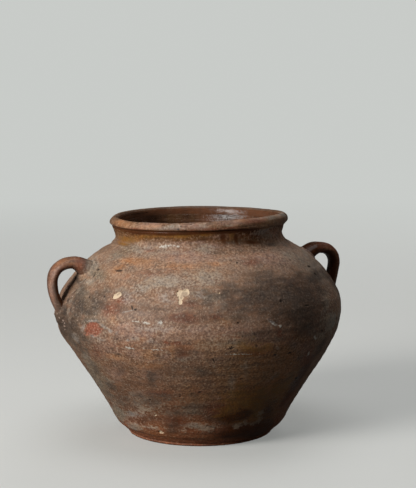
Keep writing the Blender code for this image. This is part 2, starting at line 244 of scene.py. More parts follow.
# Centre lines of the straps: (reach from the axis, height, growth of the section)
LEFT_STRAP = (
    (0.1412, 0.2023, 1.72), (0.1451, 0.2047, 1.59), (0.1485, 0.2069, 1.46),
    (0.1519, 0.2086, 1.32), (0.1555, 0.2098, 1.19), (0.1597, 0.2102, 1.07), (0.1658, 0.2096, 1.02),
    (0.1711, 0.2077, 0.99), (0.1754, 0.2047, 0.97), (0.1787, 0.2008, 0.95), (0.1809, 0.1959, 0.92),
    (0.1819, 0.1903, 0.89), (0.1815, 0.1823, 0.87), (0.1802, 0.1750, 0.87), (0.1779, 0.1683, 0.90),
    (0.1748, 0.1617, 0.95), (0.1708, 0.1549, 1.03), (0.1659, 0.1478, 1.12),
)
RIGHT_STRAP = (
    (0.1370, 0.2068, 1.50), (0.1409, 0.2092, 1.42), (0.1443, 0.2114, 1.34),
    (0.1477, 0.2131, 1.26), (0.1513, 0.2143, 1.17), (0.1555, 0.2147, 1.07), (0.1616, 0.2141, 1.05),
    (0.1669, 0.2122, 1.03), (0.1712, 0.2092, 1.02), (0.1744, 0.2053, 1.01), (0.1762, 0.2004, 0.98),
    (0.1767, 0.1948, 0.96), (0.1757, 0.1868, 0.96), (0.1741, 0.1795, 0.97), (0.1724, 0.1728, 1.00),
    (0.1707, 0.1662, 1.05), (0.1683, 0.1594, 1.10), (0.1649, 0.1523, 1.16),
)
STRAP_THICKNESS = 0.0130
STRAP_WIDTH = 0.0230
STRAP_SEGMENTS = 48
# Height of the three faint facets round a strap
STRAP_FACETS = 0.00025
# How deep under the wall's surface a strap is cut off, how much lower at its lower root, and the
# share of its length that such a cut is made in
STRAP_CUT_DEPTH = 0.0035
STRAP_CUT_DROP = 0.004
STRAP_CUT_SHARE = 0.4
# Radius at which the marks' degrees round a strap are turned into lengths
STRAP_MARK_RADIUS = 0.0085
# Share of a strap's section within which points count as equally deep
STRAP_CORE = 0.05
# Marks on the straps, as (degrees round the strap from its outer side, length from the upper
# root, half length, half width, tilt in degrees, strength)
LEFT_STRAP_MARKS = {
    "rust": ((-80, 0.014, 0.014, 0.006, 0, 0.7), (-100, 0.040, 0.030, 0.004, 90, 0.5),
             (-30, 0.030, 0.020, 0.004, 90, 0.5)),
    "bone": ((-85, 0.000, 0.034, 0.0058, 0, 1.0), (-20, 0.004, 0.016, 0.0050, 0, 0.8)),
    "rose": ((-42, 0.066, 0.030, 0.0046, 90, 1.0), (-70, 0.045, 0.020, 0.0035, 90, 0.9),
             (-95, 0.026, 0.014, 0.003, 90, 0.6)),
    "orange": ((-30, 0.030, 0.016, 0.006, 90, 0.8), (-85, 0.024, 0.010, 0.004, 90, 0.5)),
    "soot_and_shade": ((-90, 0.096, 0.016, 0.019, 0, 1.0), (-100, 0.070, 0.034, 0.0055, 90, 1.0),
             (0, 0.100, 0.014, 0.016, 0, 0.9), (-60, 0.086, 0.014, 0.004, 90, 0.7)),
    # The inner face and its edge are darkened: painted shade where the strap faces the wall, with
    # some dark glaze
    "burnt_and_shade": ((180, 0.050, 0.062, 0.0085, 90, 1.0), (-127, 0.066, 0.042, 0.0052, 90, 1.0)),
}
RIGHT_STRAP_MARKS = {
    # The rust and orange strips along the outer side are rust-red clay and partly a painted
    # highlight
    "rust": ((-50, 0.050, 0.060, 0.009, 90, 1.0), (-90, 0.020, 0.020, 0.010, 0, 1.0),
             (30, 0.050, 0.050, 0.008, 90, 0.8)),
    "orange": ((-40, 0.055, 0.022, 0.0035, 90, 0.8), (-80, 0.026, 0.010, 0.004, 90, 0.7)),
    "ochre": ((20, 0.108, 0.034, 0.014, 0, 1.0),),
    # The inner face, its edge and both roots are darkened: painted shade, with some dark glaze
    "burnt_and_shade": ((180, 0.050, 0.062, 0.0095, 90, 1.0), (-118, 0.060, 0.042, 0.0050, 90, 1.0),
              (-80, 0.086, 0.012, 0.016, 0, 0.9), (-60, 0.004, 0.020, 0.016, 0, 0.7)),
}
# Deep, middle and pale tone of each strap; the right strap's are darker, as painted shade on the
# pot's shaded side
LEFT_STRAP_TONES = ((0.120, 0.056, 0.034), (0.190, 0.096, 0.062), (0.270, 0.155, 0.105))
RIGHT_STRAP_SHADED_TONES = ((0.070, 0.028, 0.012), (0.125, 0.056, 0.026), (0.190, 0.092, 0.045))

# The wads: strap, side, height, half spans round and up the wall, thickness, extra climb up the
# strap, and seed
WADS = {
    "left_upper_wad": (LEFT_STRAP, -1, 0.2020, (0.030, 0.023), 0.0010, 0.0, 51),
    "left_lower_wad": (LEFT_STRAP, -1, 0.1480, (0.021, 0.027), 0.0032, 0.0, 61),
    "right_upper_wad": (RIGHT_STRAP, 1, 0.2070, (0.028, 0.021), 0.0009, 0.0, 71),
    "right_lower_wad": (RIGHT_STRAP, 1, 0.1520, (0.021, 0.027), 0.0030, 0.0042, 81),
}
# Faces round and up a wad's grid
WAD_GRID = (96, 80)
# Shares of a wad over which its pad rises, its edge feathers out and the extra climb sets in from
# the edge and from the middle down
PAD_RISE = 0.75
FEATHER_RISE = 0.3
CLIMB_RISE = 0.4
CLIMB_DROP = 0.2
# The clay drawn up a strap: its greatest height, that height as a multiple of the wad's thickness,
# its reach from the strap, without and with the extra climb, and how hollow it is
FILLET_HEIGHT = 0.0036
FILLET_GROWTH = 2.6
FILLET_REACH = 0.0065
CLIMB_REACH = 0.0110
FILLET_HOLLOW = 1.5
# How deep a wad's feathered edge, its corners and its underside lie
WAD_EDGE_DEPTH = 0.0009
WAD_CORNER_DEPTH = 0.0006
WAD_DEPTH = 0.0030

# Marks on the wall by finish, where the photograph shows them: pixels from its left and its top
# edge, half width and half height in pixels, tilt in degrees, and strength where it isn't 1
WALL_SPOTS = {
    "russet": (
        (160, 435, 40, 6, 4), (205, 438, 40, 5, -1), (140, 430, 13, 6, 28),
        (262, 431, 24, 6, -20, 0.8), (268, 392, 34, 34, -35), (285, 362, 20, 30, 35, 0.3),
        (240, 410, 44, 18, 0, 0.9), (205, 425, 44, 10, 0, 0.8), (160, 428, 30, 7, 8, 0.8),
        (262, 352, 34, 12, 0, 0.7), (175, 400, 40, 14, 0, 0.5), (300, 340, 18, 14, 30, 0.6),
        (240, 338, 24, 9, 0, 0.6), (190, 318, 24, 7, 0, 0.5), (120, 345, 22, 8, 0, 0.4),
        (185, 348, 20, 7, 0, 0.6), (150, 432, 24, 4, 0, 0.8), (290, 288, 26, 10, 0, 0.4),
        (255, 345, 30, 9, 0, 0.6),
    ),
    # Pale grains of dust; the marks along the neck's foot are painted sparkle highlights
    "dust_and_sparkle": (
        (175, 284, 46, 18, 0, 0.7), (165, 247, 24, 6, 0, 0.9), (140, 248, 16, 5, 0, 0.8),
        (205, 251, 26, 7, 0, 0.7), (150, 328, 44, 12, 0, 0.7), (272, 318, 24, 12, 20, 0.6),
        (96, 300, 20, 22, -25, 0.6), (80, 318, 14, 22, -20, 0.6), (235, 350, 34, 8, 0, 0.6),
        (255, 256, 26, 8, 0, 0.5), (112, 258, 18, 8, -25, 0.6), (150, 410, 34, 14, 0, 0.5),
        (205, 300, 26, 14, 0, 0.6), (196, 426, 30, 5, 0, 0.6), (100, 385, 10, 24, -32, 0.6),
        (120, 340, 26, 10, 10, 0.5), (200, 372, 60, 20, 0, 0.4), (262, 415, 12, 10, 20, 0.25),
        (325, 320, 10, 22, 0, 0.7),
    ),
    # Dark brown stains; the broad marks on the right side and at the lower right of the foot are
    # painted shade
    "umber": (
        (226, 300, 14, 10, 0, 0.6), (300, 306, 20, 12, 0, 0.9), (108, 392, 6, 10, -35, 0.5),
        (172, 421, 13, 10, 0, 0.5), (150, 402, 20, 8, 0, 0.8), (120, 370, 8, 6, 0, 0.6),
        (300, 310, 13, 9, 0, 0.8), (262, 300, 60, 22, 0), (300, 294, 40, 24, 10),
        (230, 310, 20, 9, 0, 0.9), (218, 418, 22, 9, 0, 0.9), (172, 430, 12, 6, 0),
        (125, 400, 22, 10, 30, 0.6), (162, 370, 26, 8, 0, 0.5), (66, 326, 12, 26, -20),
        (285, 304, 44, 20, 4), (290, 316, 44, 22, 10, 0.9), (232, 300, 18, 12, 0, 0.9),
        (262, 334, 34, 10, 0, 0.7), (318, 288, 16, 18, 20, 0.8), (172, 426, 10, 7, 0),
        (240, 420, 14, 8, -5), (252, 430, 16, 5, -10), (205, 408, 44, 8, 0, 0.6),
        (275, 282, 34, 8, 0, 0.6), (226, 286, 10, 6, 0, 0.6), (262, 294, 22, 12, 0, 0.9),
        (305, 298, 22, 20, 10, 0.9), (225, 292, 12, 7, 0, 0.7),
        (210, 303, 20, 8, 0, 0.6), (85, 305, 22, 14, -30, 0.7), (72, 325, 12, 20, -25, 0.9),
        (95, 300, 18, 10, -10, 0.6), (238, 322, 12, 6, 0, 0.4), (150, 398, 36, 6, 0, 0.5),
        (175, 410, 26, 7, 0, 0.6), (150, 418, 18, 6, 0, 0.4), (240, 418, 18, 6, -10, 0.8),
        (195, 396, 30, 6, 0, 0.5), (180, 352, 14, 6, 0, 0.6), (138, 384, 26, 6, 0, 0.3),
        (262, 425, 16, 6, -25, 0.7), (215, 432, 40, 4, -3, 0.4), (300, 274, 30, 8, 25, 0.4),
    ),
    "olive": (
        (84, 302, 16, 34, -22), (72, 336, 12, 26, -30), (97, 274, 14, 12, -25, 0.9),
        (96, 376, 9, 34, -35), (90, 318, 14, 20, -10, 0.8), (122, 252, 20, 7, -20, 0.8),
        (118, 412, 10, 12, -35, 0.8), (76, 320, 8, 16, 0, 0.8), (104, 290, 10, 8, 0, 0.5),
        (205, 298, 22, 12, 0, 0.5), (196, 410, 26, 8, 0, 0.6), (300, 262, 22, 8, 30, 0.5),
        (318, 285, 8, 24, -20, 0.5),
    ),
    # Yellow-brown stains; the marks near the lower right edge are partly a painted band of
    # reflected light
    "ochre": (
        (284, 353, 13, 10, -20), (272, 368, 12, 10, -20, 0.8), (300, 340, 8, 5, 0, 0.6),
        (250, 372, 46, 30, 0, 0.8), (245, 398, 32, 12, 0), (225, 345, 32, 14, 0, 0.7),
        (272, 385, 26, 18, -35, 0.8), (150, 410, 30, 10, 0, 0.3), (200, 395, 30, 12, 0, 0.5),
        (225, 322, 20, 8, 0, 0.6), (205, 272, 28, 7, 0, 0.5),
    ),
    # Pink stains; the marks at the neck's right end are partly painted light there
    "rose": (
        (268, 236, 14, 6, -8, 0.9), (135, 355, 11, 7, 0, 0.9), (166, 356, 9, 5, 0, 0.8),
        (230, 330, 40, 12, 0, 0.5), (265, 258, 38, 9, 8), (185, 255, 40, 9, 0),
        (212, 247, 18, 5, 0, 0.8), (140, 335, 30, 12, 0), (120, 330, 16, 8, 0),
        (108, 347, 18, 9, 10, 0.7), (300, 347, 18, 9, 20, 0.8), (150, 374, 20, 14, 0, 0.6),
        (222, 238, 20, 4, 0, 0.8), (205, 333, 30, 7, 0, 0.6), (258, 335, 20, 8, 0, 0.6),
        (115, 372, 14, 12, 0, 0.6), (190, 243, 30, 3, 0, 0.7), (276, 236, 8, 7, 0),
        (130, 415, 22, 10, 0, 0.4),
    ),
    # Pale stains and smears; the marks at the neck's right end are painted light, those along the
    # right edge a painted rim light, and the one at the lower right part of a painted band of
    # reflected light
    "bone": (
        (272, 229, 12, 3, -15), (266, 237, 10, 4, 0, 0.6), (224, 309, 7, 5, 0, 0.7),
        (90, 366, 5, 11, -35, 0.9), (134, 428, 8, 5, 22, 0.8), (237, 425, 7, 5, -20),
        (258, 417, 6, 8, 20, 0.4), (150, 250, 30, 7, 0, 0.6), (165, 281, 26, 9, 0),
        (143, 287, 14, 8, -20, 0.8), (205, 277, 28, 11, 0, 0.9), (214, 298, 14, 12, 0, 0.6),
        (92, 268, 8, 15, -28), (90, 282, 6, 4, -20), (137, 250, 17, 5.5, 0), (205, 250, 16, 5, 0),
        (326, 300, 7, 18, -12, 0.8), (331, 322, 8, 15, 8), (322, 337, 5, 9, 35),
        (236, 343, 34, 10, 0, 0.6), (232, 384, 5, 13, 0, 0.8), (246, 372, 5, 10, 0, 0.5),
        (86, 357, 5, 8, -38), (101, 386, 6, 20, -32, 0.8), (117, 411, 7, 14, -35, 0.8),
        (142, 402, 32, 14, 0, 0.6), (175, 414, 22, 8, 0, 0.5), (196, 426, 22, 4, 0, 0.7),
        (237, 424, 6, 5, -10), (259, 417, 6, 7, 20, 0.3), (276, 368, 11, 16, 35, 0.8),
        (150, 428, 14, 2.5, 8, 0.7), (112, 256, 18, 6, -25, 0.6), (120, 291, 12, 6, -10, 0.5),
        (185, 360, 16, 5, 0, 0.4), (98, 340, 10, 5, 25, 0.5), (300, 262, 22, 5, 25, 0.5),
        (320, 271, 24, 6, 54), (305, 254, 12, 4, 40, 0.8),
    ),
    # Orange stains; the marks along the lower right edge are a painted band of reflected light
    "orange": (
        (278, 372, 13, 18, 35), (277, 372, 10, 34, 27), (268, 388, 10, 14, 27),
        (286, 352, 9, 9, 27), (286, 357, 11, 15, 20), (276, 376, 12, 12, 20, 0.9),
        (272, 368, 22, 22, 20, 0.9), (255, 381, 30, 14, 0, 0.6), (290, 368, 8, 26, 33, 0.8),
        (283, 350, 10, 10, 20, 0.5), (133, 261, 27, 5, 0), (175, 266, 42, 4, 0, 0.7),
        (215, 264, 12, 3, 0, 0.8), (117, 268, 14, 5, -20, 0.8), (106, 278, 8, 6, -40, 0.5),
        (150, 355, 14, 8, 0, 0.7), (150, 366, 22, 6, 0, 0.8), (118, 357, 13, 4, 14, 0.7),
        (172, 351, 5, 12, 0, 0.7), (245, 253, 24, 3, 4, 0.5), (195, 340, 14, 4, 0, 0.4),
        (112, 318, 8, 12, -10, 0.6), (140, 340, 16, 5, 0, 0.5),
    ),
    "rust": (
        (112, 309, 14, 9, 0, 0.9), (182, 354, 9, 5, 0, 0.5), (108, 311, 10, 9, 0, 0.8),
        (184, 318, 22, 7, 0), (192, 305, 16, 5, 0, 0.7), (215, 317, 12, 4, 0, 0.8),
        (166, 342, 6, 3, 30), (177, 343, 8, 2.5, 0), (280, 333, 4, 5.5, 0),
        (119, 300, 15, 7, -12, 0.7), (216, 410, 17, 9, 0), (248, 415, 12, 9, -10),
        (272, 425, 22, 10, -20), (263, 416, 12, 10, -20, 0.9), (268, 402, 10, 12, 30, 0.9),
        (176, 421, 16, 6, 0, 0.8), (232, 431, 24, 6, -4), (302, 368, 7, 30, 33),
        (286, 398, 9, 22, 33), (292, 287, 12, 8, 0, 0.7), (252, 262, 14, 5, 0, 0.7),
        (150, 273, 30, 5, -6, 0.4), (160, 393, 26, 5, 0, 0.5), (96, 352, 8, 10, -20, 0.5),
        (150, 250, 12, 3, 0, 0.5), (253, 354, 18, 3, 0, 0.5), (200, 392, 12, 4, 0, 0.5),
    ),
    # Dark grey-brown marks: real smoke on the left flank and round the wads; on the right shoulder
    # and flank they are painted shade, and in the left handle's eye a painted shadow of the strap
    "soot_and_shade": (
        (314, 277, 10, 16, 25), (290, 307, 20, 7, 8, 0.7), (318, 300, 8, 18, 0, 0.7),
        (262, 282, 30, 10, 0), (285, 300, 34, 20, 0), (302, 312, 14, 12, 0),
        (240, 318, 16, 8, 0, 0.9), (245, 308, 10, 8, 0, 0.9), (240, 312, 9, 6, 0),
        (255, 296, 8, 6, 0), (122, 309, 9, 6, 0, 0.5), (61, 322, 5, 10, -15),
        (210, 295, 12, 6, 0, 0.6), (120, 294, 12, 5, 0, 0.5), (66, 325, 10, 26, -22),
        (80, 345, 10, 14, -32, 0.8), (92, 310, 16, 10, -20, 0.7), (276, 292, 50, 26, 5),
        (248, 299, 22, 18, 0, 0.8), (302, 302, 26, 28, 12), (262, 276, 30, 8, 0, 0.9),
        (250, 293, 8, 4, 0), (230, 289, 16, 11, 0, 0.7), (79, 306, 13, 26, -22),
        (100, 294, 20, 11, -18, 0.8), (74, 331, 9, 13, -25), (110, 386, 10, 3.2, 36),
        (151, 379, 7, 10, 0, 0.8), (203, 372, 16, 5, 4, 0.7), (156, 309, 26, 8, 0, 0.5),
        (205, 303, 22, 8, 0, 0.5), (165, 397, 26, 4, 0, 0.5), (306, 326, 14, 9, 0, 0.8),
        (321, 347, 4, 16, 32), (250, 412, 12, 6, -15), (225, 423, 10, 4, 0, 0.7),
        (80, 285, 5, 14, -30, 0.7), (270, 245, 20, 3, 6, 0.8), (238, 243, 12, 3, 0, 0.6),
        (96, 370, 4, 10, -32, 0.7), (64, 318, 4, 12, -8, 0.8), (112, 349, 4, 2, 25, 0.8),
        (200, 318, 50, 8, 0, 0.4),
    ),
    # Grey patches and scratches; the marks at the neck's right end and along the right edge are a
    # painted sheen, and one on the right belly a painted glint
    "ash_and_sheen": (
        (135, 339, 9, 5, 0, 0.7), (151, 341, 9, 4, 0, 0.5), (166, 296, 12, 9, 0, 0.5),
        (76, 338, 4, 9, -25, 0.7), (165, 309, 8, 6, 0, 0.4), (92.5, 320.8, 8.5, 1.6, -4),
        (83.5, 328, 3, 6, 10), (104, 326.5, 9, 1.5, 28), (111, 331, 4.5, 2.6, 20),
        (127, 311.5, 14, 1.1, -12), (128, 340, 3.4, 2, 0), (128, 298, 9, 8, 0, 0.6),
        (200, 296, 6, 6, 0, 0.7), (160.5, 323, 3.4, 3, 0), (272, 322, 8, 1.6, 35, 0.9),
        (334, 322, 5, 10, 10), (262, 234.5, 11, 4, -14), (150, 329, 24, 5, 0, 0.4),
        (145, 248, 10, 3, 0, 0.7), (138, 292, 12, 6, 0, 0.4), (286, 268, 12, 3, 30, 0.4),
        (150, 340, 3, 2, 0, 0.7), (116, 333, 3, 3, 0, 0.7), (270, 380, 20, 3, -40, 0.3),
        (97, 338, 12, 2.5, 25, 0.6), (156, 331, 2.5, 2, 0, 0.8), (137, 415, 18, 4, 12, 0.5),
        (278, 348, 4, 3, 0, 0.5),
    ),
    "amber": (
        (236, 414, 24, 12, 0, 0.9), (262, 412, 24, 15, -20), (276, 392, 9, 18, 30, 0.9),
        (246, 402, 14, 8, 0, 0.9), (255, 402, 34, 22, 0), (288, 384, 8, 28, 33, 0.8),
        (248, 348, 26, 10, 0, 0.5), (225, 415, 14, 6, 0, 0.7), (128, 238.5, 12, 5, 0),
        (150, 235.5, 20, 3.5, 0, 0.8), (180, 236, 24, 3, 0, 0.8), (232, 237, 5, 5, 0, 0.6),
        (121, 243, 7, 3, 10, 0.8), (205, 235.5, 16, 3, 0, 0.7), (268, 228.5, 12, 2, -12, 0.5),
    ),
    # Near-black marks: real burnt glaze run under the lip, and painted shade under the lip's
    # overhang and at the lower right of the foot
    "burnt_and_shade": (
        (232, 418, 16, 7, -6, 0.7), (258, 430, 22, 8, -20), (235, 432, 26, 6, -6, 0.7),
        (298, 380, 4, 38, 33, 0.7), (262, 424, 16, 6, -22, 0.8), (246, 412, 10, 4, 0, 0.6),
        (241, 416, 13, 6, -10, 0.9), (178, 418, 12, 8, 0, 0.25), (252, 433, 24, 6, -10),
        (240, 430, 20, 7, -5), (236, 435, 26, 3.5, -5, 0.9), (256, 428, 16, 6, -18, 0.9),
        (268, 412, 8, 14, 30, 0.5), (186, 231.8, 64, 3.2, 0), (137, 230.5, 20, 2.6, 8),
        (236, 230.5, 40, 3.4, -4), (223, 239, 4, 6, 0, 0.6), (253, 243.5, 12, 2.4, 4, 0.6),
        (236, 240, 2.5, 6, 0, 0.7), (205, 240, 14, 2, 0, 0.3),
    ),
    "scarlet": (
        (88.8, 329.4, 6, 6.6, 0), (96.6, 331.4, 6.2, 5.6, 8, 0.8), (92, 326, 8, 4.5, 4),
    ),
    "chalk": (
        (116.3, 295.6, 5.6, 2.9, -32), (180, 293.6, 4.2, 4, -20), (185.3, 292.6, 4.4, 3.4, -25),
        (180.6, 297.2, 3, 3.4, 0), (180.2, 301.8, 2.1, 2.9, 0), (160.3, 432.2, 2.4, 1.5, 35),
        (219.2, 292.8, 0.9, 0.9, 0), (162.2, 433.2, 1.2, 1, 0), (155.5, 415.5, 1.1, 0.8, 0),
    ),
    "core": (
        (237, 426, 6, 3, -20, 0.6), (246, 422, 3, 3, 10, 0.5), (252, 424, 3, 3, 0, 0.5),
        (259, 416, 5, 8, 20, 0.4), (206, 428, 14, 4, 6, 0.4), (186, 430, 8, 3, 0, 0.4),
        (142, 410, 10, 4, 10, 0.35), (330, 322, 4, 8, 10, 0.4), (117.6, 293.9, 3.2, 1.2, -32),
        (184.6, 294, 4.2, 3, -20), (181, 297.4, 1.8, 1.6, 0),
    ),
    # Painted highlights: small bright glints where light catches the belly ridges and the neck's
    # foot, over slightly raised worn ridges
    "glint": (
        (135.5, 321.4, 5, 0.7, 2), (145.5, 322.8, 4.6, 1.4, 10), (160.5, 322.6, 2.6, 2.2, 0),
        (147.5, 328.4, 2.6, 0.7, 0), (130.5, 348.2, 6.5, 1, 10), (155, 349.6, 14, 0.7, 4),
        (166, 246.2, 9, 1.3, -4), (178, 246.6, 4, 1, 0), (273, 324, 3, 0.8, 35),
        (280, 326.5, 1.8, 1.8, 0), (240, 354.2, 26, 0.6, 0, 0.8), (316, 337.5, 2, 3, 0, 0.8),
        (309, 354, 1, 4, 30, 0.8),
    ),
    "ridge": (
        (90.5, 271, 7, 1.7, 100), (86.5, 281.5, 5, 1.7, 125), (78, 290.5, 8, 1.7, 134),
        (71, 301, 7, 1.7, 118), (68.5, 312, 7, 1.5, 97), (95.5, 266, 5, 1.4, 75),
        (80, 283, 6, 1.3, 132, 0.8), (73, 310, 8, 1.2, 100, 0.7), (70, 320, 7, 1.5, 80, 0.7),
    ),
    # Folds between the smeared ridges, painted dark as shade
    "groove": (
        (83, 280.5, 5, 1.1, 128), (74.5, 291, 6, 1.1, 132), (67.8, 300.5, 5, 1, 112),
        (66.2, 312, 7, 1, 95), (88.4, 268, 5, 1, 100, 0.9), (93, 275, 4, 1, 112, 0.8),
        (71, 308, 6, 0.9, 102, 0.8), (60, 316, 6, 1, 75, 0.8),
    ),
    "crumb": (
        (58.5, 308, 1.8, 1.4, 0), (61.5, 311, 1.7, 1.2, 30), (63.5, 314, 1.2, 1, 0),
        (64.6, 317.5, 1, 1, 0), (65.4, 320.2, 1, 1.2, 0), (66, 323.2, 0.9, 1.1, 0),
        (66.3, 326, 0.9, 0.9, 0), (60.8, 313.7, 1, 1, 0), (67, 329.2, 0.8, 0.8, 0),
        (94.6, 317, 0.8, 1, 0), (72.5, 296.5, 1, 1, 0), (79.5, 283, 0.9, 0.9, 0),
        (78, 320.5, 0.8, 0.8, 0), (70.8, 301.5, 0.9, 0.9, 0), (63.2, 309.5, 0.9, 0.9, 0),
    ),
    "pit": (
        (281, 301, 2, 1.8, 0), (238.5, 323, 1.8, 1.4, 0), (231, 348.5, 5, 1.3, -18),
        (257.2, 346.4, 1.6, 1.1, 0), (241.5, 379, 2, 0.8, 0), (96.6, 269.4, 2.6, 1.6, -15),
        (89, 297, 2.2, 1.2, -45), (104.2, 296.4, 1.4, 1.6, 0), (132.2, 307.5, 1.3, 2.8, -15),
        (135.5, 309.5, 1.6, 1.4, 0), (133.2, 337.8, 1, 1, 0), (118.5, 270.5, 5, 1.6, -4),
        (307.5, 266.5, 2.4, 1.2, 20), (314, 274, 2.6, 1, 40), (214, 360.5, 1, 3.2, -30),
        (200, 392.5, 2.6, 1, 0), (290, 353, 2.4, 1.2, -20), (296, 378, 2.4, 1, -30),
        (275.5, 355, 2.2, 1.4, 0), (212, 427.5, 8, 0.9, 16), (323, 331, 1.6, 1.8, 0),
        (307, 305.5, 3, 1, 0), (180.2, 397, 1.2, 1, 0), (150, 400, 1.2, 1, 0),
        (237, 262.5, 1.3, 1, 0),
    ),
}
# Marks on the lip, in the same terms
LIP_SPOTS = {
    # The slit under the lip, painted dark as shade
    "groove": (
        (247, 226.8, 12, 0.6, -5, 0.9), (263, 224.6, 8, 0.5, -12, 0.6),
    ),
    # The mark at the lip's right end is painted light there
    "ochre": (
        (266, 222, 16, 4, -14, 0.9), (236, 226, 16, 3, -6, 0.6),
    ),
    # The thin dark line under the lip's front is painted shade
    "umber": (
        (190, 231, 30, 1.2, 0, 0.5),
    ),
    "rose": (
        (150, 225, 14, 4, 0), (196, 226.5, 20, 4, 0, 0.9), (236, 223, 22, 4, -5, 0.9),
        (262, 219, 14, 3, -12, 0.7),
    ),
    # The mark at the lip's right end is painted light there
    "bone": (
        (170, 226.5, 10, 3, 0, 0.9), (204, 226, 6, 3, 0, 0.5), (274, 217.5, 8, 4, -15, 0.8),
        (228, 226, 6, 2, 0, 0.6),
    ),
    # The mark at the lip's right end is painted light there
    "orange": (
        (122, 223, 13, 6, 15), (150, 227, 12, 3, 0, 0.6), (281, 216, 5, 4, 0, 0.5),
        (245, 221, 9, 2.5, -8, 0.5),
    ),
    "rust": (
        (138, 229.5, 14, 2, 6, 0.9), (212, 229, 14, 2, 0, 0.8), (256, 222, 16, 4, -8, 0.7),
        (190, 230, 12, 1.6, 0, 0.8), (232, 228, 14, 1.6, -4, 0.8),
    ),
    "soot_and_shade": (
        (285, 213, 3, 3, 30, 0.8),
    ),
    "pit": (
        (178.5, 229, 1.7, 1.5, 0), (185.6, 230.2, 1.4, 1, 0), (217.4, 228.2, 1.3, 0.9, 0),
        (136, 223, 0.9, 0.8, 0), (181, 226.3, 0.9, 0.8, 0), (191, 224.5, 0.8, 0.7, 0),
        (162, 226, 0.8, 0.7, 0), (222, 223, 0.8, 0.7, 0),
    ),
}
# Marks at the pot's edges and behind them, in its own terms: degrees from the photographed front,
# height, half length, half width, tilt in degrees, strength
WALL_EDGE_MARKS = {
    "soot_and_shade": ((-91, 0.1480, 0.0320, 0.0220, 0, 1), (-84, 0.1620, 0.0200, 0.0160, 0, 0.8)),
    "umber": ((-89, 0.1560, 0.0260, 0.0260, 0, 1),),
}
LIP_EDGE_MARKS = {
    "umber": ((165, 0.2600, 0.2100, 0.0140, 0, 0.9),),
    # The pale mark along the top of the lip's right end is painted light
    "bone": ((68, 0.2610, 0.0500, 0.0045, 0, 1),),
}
# Distances from the camera between which a line of sight meets the pot, and the search's step
SIGHT_RANGE = (1.42, 1.80)
SIGHT_STEP = 0.0001
# Half the stretch, in pixels, over which the size of a pixel on the pot is measured
SIGHT_NUDGE = 0.8
# Radius of the lip's outer face
LIP_FACE = 0.1058
# Marks too near the pot's edge for that measure, and the size of a pixel there
EDGE_LAYERS = ("crumb",)
EDGE_PIXEL = 0.0011
# Relief of some of these marks, outwards, and how sharply they start
MARK_RELIEF = {
    "ridge": (0.0011, 0.9),
    "groove": (-0.0009, 0.9),
    "crumb": (0.0008, 0.6),
    "chalk": (-0.0009, 0.25),
    "pit": (-0.0006, 0.7),
    "glint": (0.0004, 0.9),
    "scarlet": (-0.0004, 0.2),
}
# Marks whose wall is subdivided, because their edges are sharp
FINE_MARKS = ("chalk", "pit", "crumb", "groove")

# Finish of each mark: colour, strength, where its edge lies, softness, raggedness
MARK_LOOKS = {
    "russet": ((0.310, 0.118, 0.046), 0.80, -0.15, 1.10, 1.2),
    "ochre": ((0.350, 0.180, 0.080), 0.80, -0.15, 1.00, 1.3),
    "rose": ((0.370, 0.215, 0.155), 0.75, -0.15, 1.00, 1.3),
    # Pale bone colour of stains, and of painted light at the neck's right and along the right edge
    "bone": ((0.355, 0.285, 0.218), 0.75, -0.10, 0.90, 1.7),
    "orange": ((0.430, 0.200, 0.090), 0.80, -0.10, 0.90, 1.0),
    "olive": ((0.205, 0.155, 0.106), 0.85, -0.15, 1.00, 1.3),
    "rust": ((0.210, 0.070, 0.034), 0.85, -0.10, 0.80, 1.2),
    # Dark brown of stains and of painted shade
    "umber": ((0.088, 0.048, 0.030), 0.85, -0.15, 1.10, 1.3),
    # Dark grey-brown of smoke and of painted shade
    "soot_and_shade": ((0.085, 0.058, 0.042), 0.80, -0.15, 1.00, 1.5),
    # Grey of ash and of painted sheen
    "ash_and_sheen": ((0.375, 0.325, 0.285), 0.65, 0.00, 0.80, 1.2),
    "amber": ((0.270, 0.120, 0.022), 0.85, -0.10, 0.80, 1.3),
    # Near-black colour of the burnt glaze and of the painted shade that shares its marks
    "burnt_and_shade": ((0.085, 0.024, 0.004), 0.95, -0.10, 0.60, 0.7),
    "scarlet": ((0.330, 0.100, 0.055), 0.88, -0.02, 0.50, 1.3),
    # Near-white colour of the painted glints
    "glint": ((0.640, 0.590, 0.510), 0.85, 0.15, 0.40, 1.9),
    # Pale colour of dust grains and of painted sparkle
    "dust_and_sparkle": ((0.430, 0.340, 0.260), 0.42, 0.50, 0.80, 2.0),
    "ridge": ((0.330, 0.275, 0.215), 0.45, 0.00, 0.90, 1.1),
    # Near-black colour of the grooves: painted shade in the folds and in the slit under the lip
    "groove": ((0.050, 0.036, 0.027), 0.85, 0.00, 0.80, 0.9),
    "crumb": ((0.460, 0.330, 0.265), 0.85, 0.00, 0.40, 0.7),
    "glaze": ((0.125, 0.052, 0.026), 0.97, 0.00, 0.40, 0.5),
    "pit": ((0.030, 0.019, 0.013), 0.90, 0.00, 0.60, 0.9),
    "chalk": ((0.740, 0.580, 0.400), 0.95, 0.00, 0.14, 0.60),
    "core": ((0.400, 0.290, 0.205), 0.75, 0.00, 0.50, 1.4),
}
# Soft marks that the unseen side has too, and the turn about which they are mirrored there
MIRRORED_LAYERS = ("russet", "ochre", "rose", "bone", "orange", "olive", "rust", "umber", "soot_and_shade",
                   "ash_and_sheen", "amber", "burnt_and_shade", "dust_and_sparkle")
MIRROR_DEGREES = 140
# Marks made of bright grains, which in the glints and some dust marks are painted sparkle
# highlights, and the coarse and fine noise of the others' and of their edges
SPARKLES = ("glint", "crumb", "dust_and_sparkle")
MARK_NOISES = (("Brush", "Grain"), ("Grain", "Sand"))
# Marks that lie over the worn grains
SHARP_LAYERS = ("dust_and_sparkle", "pit", "crumb", "chalk", "core", "glint")
